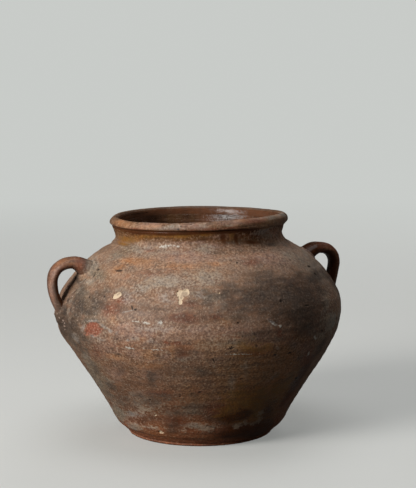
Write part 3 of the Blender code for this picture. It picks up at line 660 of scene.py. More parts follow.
# Smoked and shade-painted marks, in which fewer worn grains show
SMOKED_AND_SHADED_LAYERS = ("umber", "soot_and_shade")
# What the marks add to the roughness
MARK_GLOSS = {"bone": 0.12, "amber": -0.26, "burnt_and_shade": -0.12, "chalk": 0.25, "glaze": -0.36,
               "soot_and_shade": 0.06}
# What the clay's patches of greyer and redder firing multiply its colour by, and the noise values
# between which one turns into the other
COOL_TINT = (0.93, 1.01, 1.10)
WARM_TINT = (1.07, 0.985, 0.90)
TINT_SPAN = (0.1, 0.9)
# Roughness, bump and strength of the speckle on the wall, apart from its roughness setting, and on
# the other pieces
WALL_LOOK = (1.0, 1.0)
FOOT_LOOK = (0.75, 0.9, 0.6)
LIP_LOOK = (0.50, 0.8, 0.6)
STRAP_LOOK = (0.45, 0.7, 0.4)
WAD_LOOK = (0.70, 1.3, 1.0)
# Mirror-like share of the clay's gloss, and how far its roughness varies
CLAY_SPECULAR = 0.30
ROUGHNESS_SPREAD = 0.10
# Noise values between which a piece of three tones gets its middle and its pale one, and how
# strong the pale one gets
MIDDLE_SPAN = (0.15, 0.85)
PALE_SPAN = (0.50, 1.0, 0.0, 0.6)
# Shares between which each noise darkens and lightens the clay
CLAY_SHADES = {"Brush": (0.86, 1.14), "Cloud": (0.88, 1.12), "Streak": (0.88, 1.12),
               "Mottle": (0.86, 1.14)}
# Noise of the speckle, how it shades the clay, and its worn and grimy grains: the values between
# which they set in, and their strength as a multiple of the speckle's
SPECKLE_MIX = {"Grain": 0.75, "Sand": 0.25}
SPECKLE_SHADES = (0.57, 1.37)
WORN_GRAINS = (0.54, 0.92, 1.35)
GRIMY_GRAINS = (0.26, 0.02, 0.35)
# How much of the speckle the smoke and painted shade hide, and how much of it there is low on the
# wall
SMOKE_AND_SHADE_COVER = 0.65
LOW_SPECKLE = 0.70
# Noise of a mark's edge
EDGE_MIX = {"Coarse": 0.65, "Fine": 0.35}
# Scattered dark specks: cells in a metre, share of them with a speck, greatest size in a cell,
# and then their colour, strength and depth as a share of the bump
SPECKS = {"Scale": 260.0, "Share": 0.03, "Size": 0.40}
SPECK_COLOUR = (0.020, 0.014, 0.012)
SPECK_STRENGTH = 0.75
SPECK_DEPTH = 0.5
# The liner glaze: share of its colour in the deep patches and the noise values between them and
# the rest, its long runs and its thin spots, as (colour, noise value from which they show,
# strength), its bump, and what patches do to its roughness
LINER_DEEP = 0.35
LINER_SPAN = (0.05, 0.95)
LINER_RUNS = ((0.115, 0.060, 0.024), 0.45, 0.6)
LINER_THIN = ((0.170, 0.098, 0.050), 0.60, 0.35)
LINER_BUMP = 0.75
LINER_GLOSS = (-0.06, 0.16)
# Bumps of the clay and of the liner glaze, as shares of each noise, and their full height
CLAY_BUMPS = {"Mottle": 0.30, "Grain": 0.30, "Sand": 0.08, "Streak": 0.25}
LINER_BUMPS = {"Mottle": 0.8, "Streak": 1.8, "Grain": 0.35}
BUMP_HEIGHT = 0.0008
# Noises of the clay's weather: scale, detail, roughness and stretch of the coordinates
WEATHER_NOISES = {
    "Cloud": (11.0, 3.0, 0.55, (1.0, 1.0, 1.0)),
    "Patch": (38.0, 4.0, 0.60, (1.0, 1.0, 1.3)),
    "Mottle": (130.0, 4.0, 0.65, (1.0, 1.0, 1.2)),
    "Grain": (400.0, 2.0, 0.60, (1.0, 1.0, 1.0)),
    "Tint": (90.0, 5.0, 0.75, (1.0, 1.0, 1.5)),
    "Sand": (1150.0, 1.0, 0.60, (1.0, 1.0, 1.0)),
    "Streak": (9.0, 4.0, 0.62, (1.0, 1.0, 17.0)),
    "Brush": (46.0, 5.0, 0.68, (1.0, 1.0, 2.8)),
    "Wipe": (24.0, 3.0, 0.60, (1.0, 1.0, 0.25)),
}
# Values of such a noise that count as none and as all of it
NOISE_SPAN = (0.28, 0.72)
# Tone of the bare wall by height
WALL_TONES = (
    (0.000, (0.350, 0.108, 0.043)), (0.011, (0.320, 0.102, 0.042)), (0.026, (0.205, 0.082, 0.041)),
    (0.060, (0.215, 0.103, 0.056)), (0.100, (0.260, 0.142, 0.084)), (0.140, (0.270, 0.156, 0.102)),
    (0.200, (0.310, 0.185, 0.118)), (0.226, (0.330, 0.203, 0.132)), (0.235, (0.285, 0.160, 0.095)),
    (0.241, (0.200, 0.093, 0.036)), (0.247, (0.160, 0.064, 0.018)), (0.252, (0.110, 0.034, 0.008)),
)
TONES_TOP = 0.262
# How far up and down those tones waver, and the heights between which the speckle sets in fully
TONES_WAVER = 0.0035
SPECKLE_HEIGHTS = (0.085, 0.125)

# Lamps: turn from the photographed front, rise, distance, size, colour, and whether gloss shows it
LAMPS = {
    "window": (-49.0, 23.0, 3.2, 1.40, (1.0, 0.985, 0.96), True),
    "sky": (0.0, 88.0, 2.6, 2.0, (0.97, 0.98, 1.0), True),
    "side": (98.0, 24.0, 3.0, 1.6, (1.0, 1.0, 1.0), False),
    "back": (165.0, 32.0, 3.2, 1.8, (1.0, 1.0, 1.0), False),
}
# Height on the pot at which the lamps aim
LAMP_TARGET = 0.13
# Radius of the floor, the distances between which it fades into the backdrop and how much it does,
# its faint clouds: noise, span and strength, and colour, and its roughness
FLOOR_RADIUS = 9.0
FLOOR_FADE = (0.5, 3.2, 0.35, 1.0)
FLOOR_NOISE = (1.3, 2.0, 0.5)
FLOOR_CLOUDS = (0.3, 0.7, 0.0, 0.04)
FLOOR_GREY = (0.5, 0.5, 0.5)
FLOOR_ROUGHNESS = 0.9


class UrnShapeSettings(bpy.types.PropertyGroup):
    """Sizes of the clay's own relief"""

    turn_steps: IntProperty(
        name="Steps round the pot", description="Faces round each thrown piece",
        default=720, min=96, max=1056, step=48)
    row_spacing: FloatProperty(
        name="Row spacing", description="Distance between the rows of faces on the wall",
        default=0.0012, min=0.0005, max=0.01, unit="LENGTH")
    ring_height: FloatProperty(
        name="Throwing rings", description="Height of the throwing rings",
        default=0.00016, min=0.0, max=0.002, unit="LENGTH")
    ring_pitch: FloatProperty(
        name="Ring pitch", description="Distance from one throwing ring to the next",
        default=0.0105, min=0.002, max=0.05, unit="LENGTH")
    dent_height: FloatProperty(
        name="Dents", description="Height of the broad dents in the wall",
        default=0.0006, min=0.0, max=0.005, unit="LENGTH")


class UrnFinishSettings(bpy.types.PropertyGroup):
    """Colours and gloss of the clay and its glazes"""

    wear_colour: FloatVectorProperty(
        name="Worn grains", description="Colour of the worn, dusty grains of the wall",
        subtype="COLOR", size=3, default=(0.460, 0.350, 0.255), min=0.0, max=1.0)
    grime_colour: FloatVectorProperty(
        name="Grime", description="Colour of the grime in the wall's hollows", subtype="COLOR",
        size=3, default=(0.060, 0.038, 0.026), min=0.0, max=1.0)
    speckle: FloatProperty(
        name="Speckle", description="Strength of the fine grains' colours", default=0.55,
        min=0.0, max=1.0, subtype="FACTOR")
    liner: FloatVectorProperty(
        name="Liner glaze", description="Colour of the glaze inside the pot", subtype="COLOR",
        size=3, default=(0.125, 0.053, 0.027), min=0.0, max=1.0)
    wall_roughness: FloatProperty(
        name="Wall roughness", description="Roughness of the outside of the wall",
        default=0.58, min=0.0, max=1.0, subtype="FACTOR")
    liner_roughness: FloatProperty(
        name="Liner roughness", description="Roughness of the glaze inside",
        default=0.16, min=0.0, max=1.0, subtype="FACTOR")


class UrnStageSettings(bpy.types.PropertyGroup):
    """Floor, lamps and camera"""

    floor_colour: FloatVectorProperty(
        name="Floor", description="Colour of the plain floor as the camera sees it",
        subtype="COLOR", size=3, default=(0.80, 0.80, 0.77), min=0.0, max=1.0)
    backdrop_colour: FloatVectorProperty(
        name="Backdrop", description="Colour that the floor fades into", subtype="COLOR",
        size=3, default=(0.58, 0.60, 0.58), min=0.0, max=1.0)
    bounce: FloatProperty(
        name="Bounce", description="Share of light that the floor throws back on the pot",
        default=0.05, min=0.0, max=1.0, subtype="FACTOR")
    mirrored: FloatProperty(
        name="Mirrored", description="Share of the pale floor that the pot's gloss mirrors",
        default=0.08, min=0.0, max=1.0, subtype="FACTOR")
    window_level: FloatProperty(
        name="Window", description="Brightness of a white card that faces the window",
        default=1.0, min=0.0, max=10.0)
    sky_level: FloatProperty(
        name="Sky", description="Brightness of a white card that lies flat under the top lamp",
        default=0.30, min=0.0, max=10.0)
    side_level: FloatProperty(
        name="Side", description="Brightness of a white card that faces the lamp on the far side",
        default=0.060, min=0.0, max=10.0)
    back_level: FloatProperty(
        name="Back", description="Brightness of a white card that faces the lamp behind the pot",
        default=0.22, min=0.0, max=10.0)
    fill_level: FloatProperty(
        name="Fill", description="Brightness of a white card in the even light from all round",
        default=0.02, min=0.0, max=2.0)
    lens: FloatProperty(
        name="Lens", description="Focal length of the camera in millimetres",
        default=CAMERA_LENS, min=20.0, max=300.0)


def shape_settings():
    return bpy.context.scene.urn_shape


def finish_settings():
    return bpy.context.scene.urn_finish


def stage_settings():
    return bpy.context.scene.urn_stage


def ease(value):
    """Smooth step from 0 to 1."""
    value = np.clip(value, 0.0, 1.0)
    return value * value * (3 - 2 * value)


def between(value, start, end):
    """Smooth step from 0, where the value is start, to 1, where it is end."""
    return ease((value - start) / (end - start))


def slopes(values, steps):
    """Slope at each point of a curve that never swings past its own points."""
    chords = np.diff(values) / steps
    before, after = chords[:-1], chords[1:]
    same_way = before * after > 0
    inner = 2 * before * after / np.where(same_way, before + after, 1.0)
    return np.concatenate([chords[:1], np.where(same_way, inner, 0.0), chords[-1:]])


def wall_outline():
    """Points of the wall's outside as (radius, height), from the foot to the lip."""
    stations = [FOOT]
    for low, high, shares in ((FOOT, BELLY, FLANK_SHARES), (BELLY, NECK, SHOULDER_SHARES),
                              (NECK, COLLAR_TOP, COLLAR_SHARES)):
        for up, across in shares:
            stations.append((low[0] + across * (high[0] - low[0]),
                             low[1] + up * (high[1] - low[1])))
    stations = np.array(stations)
    steps = np.linalg.norm(np.diff(stations, axis=0), axis=1)
    turns = np.stack([slopes(column, steps) for column in stations.T], 1)
    line = []
    for index, step in enumerate(steps):
        start, end = stations[index:index + 2]
        turn, turn_end = turns[index:index + 2] * step
        for share in np.arange(OUTLINE_ROWS) / OUTLINE_ROWS:
            bend = turn * share * (1 - share) ** 2 - turn_end * share ** 2 * (1 - share)
            line.append(start + (end - start) * ease(share) + bend)
    line = np.array(line + [stations[-1]])
    heights, depths = zip(*NECK_HOLLOW)
    line[:, 0] -= np.interp(line[:, 1], heights, depths)
    return line


class WallLine:
    """The outside of the wall as a line that is looked up by its length from the foot."""

    SPACING = 0.0004

    def __init__(self, stations):
        path = smooth_path(stations, 8)
        lengths = path_lengths(path)
        self.rise = np.arange(0.0, lengths[-1], self.SPACING)
        self.radius = np.interp(self.rise, lengths, path[:, 0])
        self.height = np.interp(self.rise, lengths, path[:, 1])
        along = np.stack([np.gradient(self.radius), np.gradient(self.height)], 1)
        along /= np.linalg.norm(along, axis=1)[:, None]
        self.out_r = along[:, 1]
        self.out_z = -along[:, 0]

    def rise_at(self, height):
        return np.interp(height, self.height, self.rise)

    def radius_at(self, height):
        return np.interp(height, self.height, self.radius)

    def offset(self, rise, lift):
        """Radius and height of the points at these lengths, lifted square to the surface."""
        radius = np.interp(rise, self.rise, self.radius)
        height = np.interp(rise, self.rise, self.height)
        out_r = np.interp(rise, self.rise, self.out_r)
        out_z = np.interp(rise, self.rise, self.out_z)
        return radius + out_r * lift, height + out_z * lift


def smooth_path(stations, steps):
    """Points on a smooth curve through the stations, with steps of them in each span."""
    ends = np.vstack([2 * stations[0] - stations[1], stations, 2 * stations[-1] - stations[-2]])
    points = []
    for before, start, end, after in zip(ends, ends[1:], ends[2:], ends[3:]):
        for step in range(steps):
            t = step / steps
            bend = (2 * start + (end - before) * t
                    + (2 * before - 5 * start + 4 * end - after) * t ** 2
                    + (3 * start - before - 3 * end + after) * t ** 3)
            points.append(bend / 2)
    points.append(stations[-1])
    return np.array(points)


def path_lengths(path):
    steps = np.linalg.norm(np.diff(path, axis=0), axis=1)
    return np.concatenate([[0.0], np.cumsum(steps)])


LINE = WallLine(wall_outline())


def clay_noise(points, size, seed):
    """Smooth noise from -1 to 1, with lumps about size across."""
    place = points / size + seed * NOISE_STRIDE
    cell = np.floor(place)
    weight = ease(place - cell)
    total = np.zeros(len(points))
    for corner in itertools.product((0, 1), repeat=3):
        chance = np.sin((cell + corner) @ np.array(NOISE_WAYS)) * NOISE_GAIN
        share = np.prod(np.where(corner, weight, 1 - weight), axis=1)
        total += share * (chance - np.floor(chance))
    return 2 * total - 1


def lumps(points, layers, base_seed=0):
    """Sum of noises of these sizes, heights and seeds."""
    return sum(height * clay_noise(points, size, base_seed + seed)
               for size, height, seed in layers)


def azimuth_of(points):
    """Angle round the pot from the photographed front, positive to its right."""
    return np.arctan2(points @ np.array(SIDE), points @ np.array(FRONT))


def lean_at(height):
    heights, offsets = zip(*LEAN_STATIONS)
    return np.interp(height, heights, offsets)


def rim_wave(azimuth):
    wave = RIM_TILT * np.sin(azimuth) + RIM_TWIST * np.sin(2 * azimuth)
    return wave + RIM_FRONT_LIFT * ease((1 + np.cos(azimuth)) / 2)


def settle(azimuth, radius, height):
    """Points of a ring after the pot has leaned and its rim has warped."""
    out = np.outer(np.sin(azimuth), SIDE) + np.outer(np.cos(azimuth), FRONT)
    place = out * radius[:, None] + np.outer(lean_at(height), SIDE)
    place[:, 2] = height + rim_wave(azimuth) * between(height, *RIM_WAVE_LEVELS)
    return place


def sighted(pixels, radius_at, waved):
    """Azimuth, height and radius where the lines of sight through pixels meet the pot.

    The heights are those of the level rim if waved is 1, and of the points as seen if it is 0.
    """
    scale = PHOTO_SIZE[1] * CAMERA_LENS / SENSOR_WIDTH
    across = (pixels[:, 0] - PHOTO_SIZE[0] / 2) / scale
    up = (PHOTO_SIZE[1] / 2 - pixels[:, 1]) / scale
    cosine, sine = math.cos(CAMERA_PITCH), math.sin(CAMERA_PITCH)
    way = np.stack([across, cosine + sine * up, cosine * up - sine], 1)
    way /= np.linalg.norm(way, axis=1)[:, None]
    steps = np.arange(*SIGHT_RANGE, SIGHT_STEP)
    places = np.array(CAMERA_PLACE) + steps[:, None] * way[:, None, :]
    gap = np.hypot(places[..., 0], places[..., 1]) - radius_at(places[..., 2])
    met = gap < 0
    first = np.where(met.any(axis=1), met.argmax(axis=1), gap.argmin(axis=1))
    side, away, height = places[np.arange(len(first)), first].T
    side = side - lean_at(height)
    azimuth = np.arctan2(side, -away)
    return azimuth, height - waved * rim_wave(azimuth), np.hypot(side, away)


def marks_from(layer, spots, radius_at, waved):
    """Marks in the pot's own terms, from a layer's spots in the photograph."""
    spots = np.array([spot if len(spot) == 6 else spot + (1.0,) for spot in spots])
    centres, halves, tilt = spots[:, :2], spots[:, 2:4], np.radians(spots[:, 4])
    azimuth, height, radius = sighted(centres, radius_at, waved)
    axes = []
    for way, half in zip(((np.cos(tilt), np.sin(tilt)), (-np.sin(tilt), np.cos(tilt))), halves.T):
        nudge = SIGHT_NUDGE * np.stack(way, 1)
        after = sighted(centres + nudge, radius_at, waved)
        before = sighted(centres - nudge, radius_at, waved)
        turn, lift, reach = [far - near for far, near in zip(after, before)]
        size = half / (2 * SIGHT_NUDGE)
        axes.append((turn * radius * size, np.copysign(np.hypot(lift, reach), lift) * size))
    if layer in EDGE_LAYERS:
        axes = EDGE_PIXEL * halves.T[:, None] * np.eye(2)[:, :, None]
    turned, sizes, _ = np.linalg.svd(np.array(axes).T)
    angle = np.degrees(np.arctan2(turned[:, 1, 0], turned[:, 0, 0]))
    angle = (angle + 90) % 180 - 90
    return tuple(zip(np.degrees(azimuth), height, sizes[:, 0], sizes[:, 1], angle, spots[:, 5]))


def placed_marks(all_spots, edge_marks, radius_at, waved):
    """Marks of every layer, in the pot's own terms."""
    return {layer: marks_from(layer, spots, radius_at, waved) + edge_marks.get(layer, ())
            for layer, spots in all_spots.items()}


WALL_MARKS = placed_marks(WALL_SPOTS, WALL_EDGE_MARKS, LINE.radius_at, 0.0)
LIP_MARKS = placed_marks(LIP_SPOTS, LIP_EDGE_MARKS, lambda height: LIP_FACE, 1.0)


def fold_drop(azimuth, radius, height):
    """How far the outer, lower part of the lip's section sags."""
    degrees, drops = zip(*FOLD_STATIONS)
    drop = np.interp(np.degrees(azimuth), degrees, drops)
    return drop * between(height, *FOLD_LEVELS) * between(radius, *FOLD_RADII)


def mark_field(azimuth, along, radius, marks, along_at=lambda height: height):
    """How deep the points lie in the marks: 1 in the middle of one, 0 on its edge."""
    field = np.full(len(azimuth), -1.0)
    for degrees, height, length, width, tilt, strength in marks:
        turned = (azimuth - math.radians(degrees) + math.pi) % math.tau - math.pi
        across = turned * radius
        up = along - along_at(height)
        turn = math.radians(tilt)
        first = (across * math.cos(turn) + up * math.sin(turn)) / length
        second = (up * math.cos(turn) - across * math.sin(turn)) / width
        near = 1 - np.hypot(first, second)
        field = np.maximum(field, np.where(near > 0, near * strength, near))
    return field


def marks_all_round(layer):
    """Marks of a layer on the wall; the soft ones come back, mirrored, on the unseen side."""
    marks = WALL_MARKS[layer]
    if layer not in MIRRORED_LAYERS:
        return marks
    return marks + tuple((MIRROR_DEGREES - degrees, height, length, width, -tilt, strength)
                         for degrees, height, length, width, tilt, strength in marks)


def wall_relief(azimuth, rise):
    """Outward relief of the thrown wall: rings, dents, lumps and the marks cut into it."""
    shape = shape_settings()
    radius, height = LINE.offset(rise, 0.0)
    points = settle(azimuth, radius, height)
    strength = RING_STRENGTH + lumps(points, RING_FADES)
    turn = azimuth + lumps(points, RING_SHIFTS)
    rings = np.sin(math.tau * rise / shape.ring_pitch + turn) * strength
    relief = rings * shape.ring_height + lumps(points, WALL_DENTS) * shape.dent_height
    for degrees, level, length, width, lift in SWELLS:
        swell = mark_field(azimuth, rise, radius, [(degrees, level, length, width, 0, 1)],
                           LINE.rise_at)
        relief += lift * ease(swell)
    for layer, (depth, edge) in MARK_RELIEF.items():
        field = mark_field(azimuth, rise, radius, WALL_MARKS[layer], LINE.rise_at)
        relief += depth * ease((field + lumps(points, MARK_EDGES)) / edge)
    return relief


def skin(azimuth, rise, lift):
    """Points on the finished outside of the wall, lifted square to it."""
    radius, height = LINE.offset(rise, lift + wall_relief(azimuth, rise))
    return settle(azimuth, radius, height)


def spun(section, closed, steps):
    """Bmesh turned from a section of (radius, height) points, kept as layers.

    The points of the wall's own section also have their rise along its line and their depth.
    """
    piece = bmesh.new()
    layers = [piece.verts.layers.float.new(name) for name in SECTION_LAYERS]
    verts = []
    for values in section:
        vert = piece.verts.new(Vector((0.0, 0.0, values[1])) - FRONT * values[0])
        for layer, value in zip(layers, values):
            vert[layer] = value
        verts.append(vert)
    pairs = list(zip(verts, verts[1:]))
    if closed:
        pairs.append((verts[-1], verts[0]))
    edges = [piece.edges.new(pair) for pair in pairs]
    bmesh.ops.spin(piece, geom=verts + edges, cent=(0.0, 0.0, 0.0), axis=(0.0, 0.0, 1.0),
                   angle=math.tau, steps=COARSE_STEPS, use_merge=True)
    bmesh.ops.remove_doubles(piece, verts=piece.verts, dist=0.000001)
    bmesh.ops.recalc_face_normals(piece, faces=piece.faces)
    level, around = layers[1], []
    for edge in piece.edges:
        first, second = edge.verts
        if abs(first[level] - second[level]) < 1e-7 and first.co.xy.length > 1e-4:
            if abs(first.co.xy.length - second.co.xy.length) < 1e-6:
                around.append(edge)
    bmesh.ops.subdivide_edges(piece, edges=around, cuts=steps // COARSE_STEPS - 1)
    return piece


def turned_arrays(obj):
    """Azimuths of a turned object's points, and the values of its section's layers."""
    points = read_points(obj.data)
    return [azimuth_of(points)] + [read_layer(obj.data, name) for name in SECTION_LAYERS]


def clear_old(blocks, name):
    """Removes what an earlier run left under this name."""
    old = blocks.get(name)
    if old:
        blocks.remove(old, do_unlink=True)


def finish_mesh(name, piece, sharp_angle):
    """Object made from a bmesh, smooth except at its sharp edges."""
    clear_old(bpy.data.objects, name)
    mesh = bpy.data.meshes.new(name)
    piece.to_mesh(mesh)
    piece.free()
    mesh.shade_smooth()
    mesh.set_sharp_from_angle(angle=math.radians(sharp_angle))
    obj = bpy.data.objects.new(name, mesh)
    bpy.context.scene.collection.objects.link(obj)
    return obj


def read_points(mesh):
    points = np.empty(len(mesh.vertices) * 3)
    mesh.vertices.foreach_get("co", points)
    return points.reshape(-1, 3)


def write_points(mesh, points):
    mesh.vertices.foreach_set("co", points.ravel())
    mesh.update()


def read_layer(mesh, name):
    values = np.empty(len(mesh.vertices))
    mesh.attributes[name].data.foreach_get("value", values)
    return values


def write_layer(mesh, name, values):
    layer = mesh.attributes.get(name) or mesh.attributes.new(name, "FLOAT", "POINT")
    layer.data.foreach_set("value", np.clip(values, -1.0, 1.0).astype(np.float32))


def subdivide_near(piece, marks):
    """Finer faces where the wall has sharp marks."""
    piece.verts.ensure_lookup_table()
    points = np.array([vert.co for vert in piece.verts])
    chosen = []
    for degrees, height, length, _, _, _ in marks:
        azimuth = np.array([math.radians(degrees)])
        radius, level = LINE.offset(LINE.rise_at(np.array([height])), 0.0)
        out = math.sin(azimuth[0]) * SIDE + math.cos(azimuth[0]) * FRONT
        centre = out * radius[0] + Vector((0.0, 0.0, level[0]))
        reach = length + FINE_REACH
        near = [piece.verts[index] for index
                in np.flatnonzero(np.linalg.norm(points - centre, axis=1) < reach)]
        inside = set(near)
        chosen += [edge for vert in near for edge in vert.link_edges
                   if edge.other_vert(vert) in inside]
    bmesh.ops.subdivide_edges(piece, edges=list(dict.fromkeys(chosen)), cuts=2,
                              use_grid_fill=True)


def write_wall_marks(mesh, azimuth, rise, radius):
    for layer in WALL_MARKS:
        field = mark_field(azimuth, rise, radius, marks_all_round(layer), LINE.rise_at)
        write_layer(mesh, layer, field)


def wall_member(name, low, high, finish, fine_marks):
    """Thrown member of the wall between two levels, with its relief, its stains and its painted
    light and shade.
    """
    shape = shape_settings()
    start, end = LINE.rise_at(low), LINE.rise_at(high)
    rows = max(4, round((end - start) / shape.row_spacing))
    outer = np.linspace(end, start, rows + 1)
    inner = np.linspace(start, end, INNER_ROWS)
    section = []
    for rise, depth in [(rise, 0.0) for rise in outer] + [(rise, WALL) for rise in inner]:
        radius, height = LINE.offset(rise, -depth)
        section.append((float(radius), float(height), float(rise), depth))
    piece = spun(section, True, shape.turn_steps)
    subdivide_near(piece, fine_marks)
    obj = finish_mesh(name, piece, 50)
    mesh = obj.data
    azimuth, _, _, rise, depth = turned_arrays(obj)
    relief = wall_relief(azimuth, rise) * (1 - depth / WALL)
    radius, height = LINE.offset(rise, relief - depth)
    write_points(mesh, settle(azimuth, radius, height))
    write_wall_marks(mesh, azimuth, rise, radius)
    mesh.materials.append(finish)
    return obj


def feed(tree, socket, value):
    if isinstance(value, bpy.types.NodeSocket):
        tree.links.new(value, socket)
    else:
        socket.default_value = value


def add_node(tree, kind, values, **settings):
    """Node with its settings, and its inputs fed with values or linked to sockets."""
    node = tree.nodes.new(kind)
    for key, value in settings.items():
        setattr(node, key, value)
    for socket, value in values.items():
        feed(tree, node.inputs[socket], value)
    return node


def calc(tree, operation, first, second=0.5):
    return add_node(tree, "ShaderNodeMath", {0: first, 1: second}, operation=operation).outputs[0]


def blend(tree, factor, under, over, mode="MIX"):
    """Colour that goes from under to over as the factor goes from 0 to 1."""
    return add_node(tree, "ShaderNodeMix", {0: factor, 6: under, 7: over}, data_type="RGBA",
                    blend_type=mode).outputs[2]


def rescale(tree, value, low, high, start=0.0, end=1.0, way="SMOOTHSTEP"):
    """Value eased from start to end as it goes from low to high."""
    return add_node(tree, "ShaderNodeMapRange", {0: value, 1: low, 2: high, 3: start, 4: end},
                    interpolation_type=way).outputs[0]


def weighted(tree, out, shares):
    """Sum of some outputs, each times its share."""
    total = None
    for name, share in shares.items():
        part = calc(tree, "MULTIPLY", out[name], share)
        total = part if total is None else calc(tree, "ADD", total, part)
    return total


def object_place(tree):
    return add_node(tree, "ShaderNodeTexCoord", {}).outputs["Object"]


def colour4(colour):
    return (colour[0], colour[1], colour[2], 1.0)


def new_group(name, inputs, outputs):
    """Empty shader node group with float sockets."""
    tree = bpy.data.node_groups.new(name, "ShaderNodeTree")
    for socket, value in inputs.items():
        made = tree.interface.new_socket(socket, in_out="INPUT", socket_type="NodeSocketFloat")
        made.default_value = value
    for socket in outputs:
        tree.interface.new_socket(socket, in_out="OUTPUT", socket_type="NodeSocketFloat")
    return tree, tree.nodes.new("NodeGroupInput"), tree.nodes.new("NodeGroupOutput")


def object_noise(tree, scale, detail, roughness, stretch=(1.0, 1.0, 1.0)):
    spread = add_node(tree, "ShaderNodeMapping",
                      {"Vector": object_place(tree), "Scale": stretch})
    return add_node(tree, "ShaderNodeTexNoise",
                    {"Vector": spread.outputs[0], "Scale": scale, "Detail": detail,
                     "Roughness": roughness}).outputs["Fac"]


def clay_weather():
    """Node group: the noises that age the clay, from hand-wide clouds to grains of sand."""
    if "Clay weather" in bpy.data.node_groups:
        return bpy.data.node_groups["Clay weather"]
    tree, entry, leave = new_group("Clay weather", {"Size": 1.0}, WEATHER_NOISES)
    for name, (scale, detail, roughness, stretch) in WEATHER_NOISES.items():
        scaled = calc(tree, "MULTIPLY", entry.outputs["Size"], scale)
        noise = object_noise(tree, scaled, detail, roughness, stretch)
        feed(tree, leave.inputs[name], rescale(tree, noise, *NOISE_SPAN, way="LINEAR"))
    return tree


def clay_specks():
    """Node group: scattered round specks, a share of the cells, of random sizes."""
    if "Clay specks" in bpy.data.node_groups:
        return bpy.data.node_groups["Clay specks"]
    tree, entry, leave = new_group("Clay specks", SPECKS, ("Mask",))
    cells = add_node(tree, "ShaderNodeTexVoronoi",
                     {"Vector": object_place(tree), "Scale": entry.outputs["Scale"],
                      "Randomness": 1.0})
    parts = add_node(tree, "ShaderNodeSeparateColor", {0: cells.outputs["Color"]})
    chosen = calc(tree, "LESS_THAN", parts.outputs[0], entry.outputs["Share"])
    reach = calc(tree, "MULTIPLY", parts.outputs[1], entry.outputs["Size"])
    inside = rescale(tree, cells.outputs["Distance"], reach, 0.0, way="LINEAR")
    feed(tree, leave.inputs["Mask"], calc(tree, "MULTIPLY", chosen, inside))
    return tree


def mark_edge():
    """Node group: turns a mark's field into a mask with a ragged, soft edge."""
    if "Mark edge" in bpy.data.node_groups:
        return bpy.data.node_groups["Mark edge"]
    tree, entry, leave = new_group(
        "Mark edge",
        {"Field": 0.0, "Coarse": 0.5, "Fine": 0.5, "Edge": 0.0, "Softness": 0.4, "Ragged": 1.0,
         "Strength": 1.0},
        ("Mask",))
    noise = weighted(tree, entry.outputs, EDGE_MIX)
    shift = calc(tree, "MULTIPLY", calc(tree, "SUBTRACT", noise, 0.5), entry.outputs["Ragged"])
    value = calc(tree, "SUBTRACT", calc(tree, "ADD", entry.outputs["Field"], shift),
                 entry.outputs["Edge"])
    share = calc(tree, "DIVIDE", value, entry.outputs["Softness"])
    mask = rescale(tree, share, 0.0, 1.0)
    feed(tree, leave.inputs["Mask"], calc(tree, "MULTIPLY", mask, entry.outputs["Strength"]))
    return tree


def place_group(tree, group, values):
    return add_node(tree, "ShaderNodeGroup", values, node_tree=group)


def new_finish(name):
    """Material with a bare Principled shader; returns it, its tree and the shader."""
    clear_old(bpy.data.materials, name)
    material = bpy.data.materials.new(name)
    material.use_nodes = True
    tree = material.node_tree
    return material, tree, tree.nodes["Principled BSDF"]


def add_marks(tree, colour, layers, weather):
    """Lays the marks' colours over a colour; returns it and the mask of each layer."""
    masks = {}
    for layer in layers:
        hue, strength, edge, softness, ragged = MARK_LOOKS[layer]
        field = add_node(tree, "ShaderNodeAttribute", {}, attribute_name=layer).outputs["Fac"]
        coarse, fine = [weather.outputs[noise] for noise in MARK_NOISES[layer in SPARKLES]]
        node = place_group(tree, mark_edge(), {
            "Field": field, "Coarse": coarse, "Fine": fine, "Edge": edge,
            "Softness": softness, "Ragged": ragged, "Strength": strength})
        masks[layer] = node.outputs["Mask"]
        colour = blend(tree, masks[layer], colour, colour4(hue))
    return colour, masks


def tone_ramp(tree, value, low, high, stops):
    """Colour looked up by a value in stops of (value, colour) between low and high."""
    share = rescale(tree, value, low, high, way="LINEAR")
    ramp = add_node(tree, "ShaderNodeValToRGB", {0: share})
    elements = ramp.color_ramp.elements
    while len(elements) < len(stops):
        elements.new(0.5)
    for element, (level, colour) in zip(elements, stops):
        element.position = (level - low) / (high - low)
        element.color = colour4(colour)
    return ramp.outputs[0]


def shade_by(tree, colour, noise, shares):
    """Colour multiplied by a share between these two, as a noise goes from 0 to 1."""
    share = rescale(tree, noise, 0.0, 1.0, *shares)
    grey = add_node(tree, "ShaderNodeCombineColor", {0: share, 1: share, 2: share}).outputs[0]
    return blend(tree, 1.0, colour, grey, "MULTIPLY")


def add_grains(tree, colour, out, wear, grime, grain, strength):
    """Fine speckle: worn pale grains and dark ones between them."""
    mixed = weighted(tree, out, SPECKLE_MIX)
    colour = blend(tree, grain, colour, shade_by(tree, colour, mixed, SPECKLE_SHADES))
    for hue, (start, end, growth) in ((wear, WORN_GRAINS), (grime, GRIMY_GRAINS)):
        full = calc(tree, "MULTIPLY", strength, growth)
        colour = blend(tree, rescale(tree, mixed, start, end, 0.0, full), colour, colour4(hue))
    return colour


def add_bump(tree, shader, height, strength):
    bump = add_node(tree, "ShaderNodeBump",
                    {"Height": height, "Strength": strength, "Distance": BUMP_HEIGHT})
    tree.links.new(bump.outputs["Normal"], shader.inputs["Normal"])


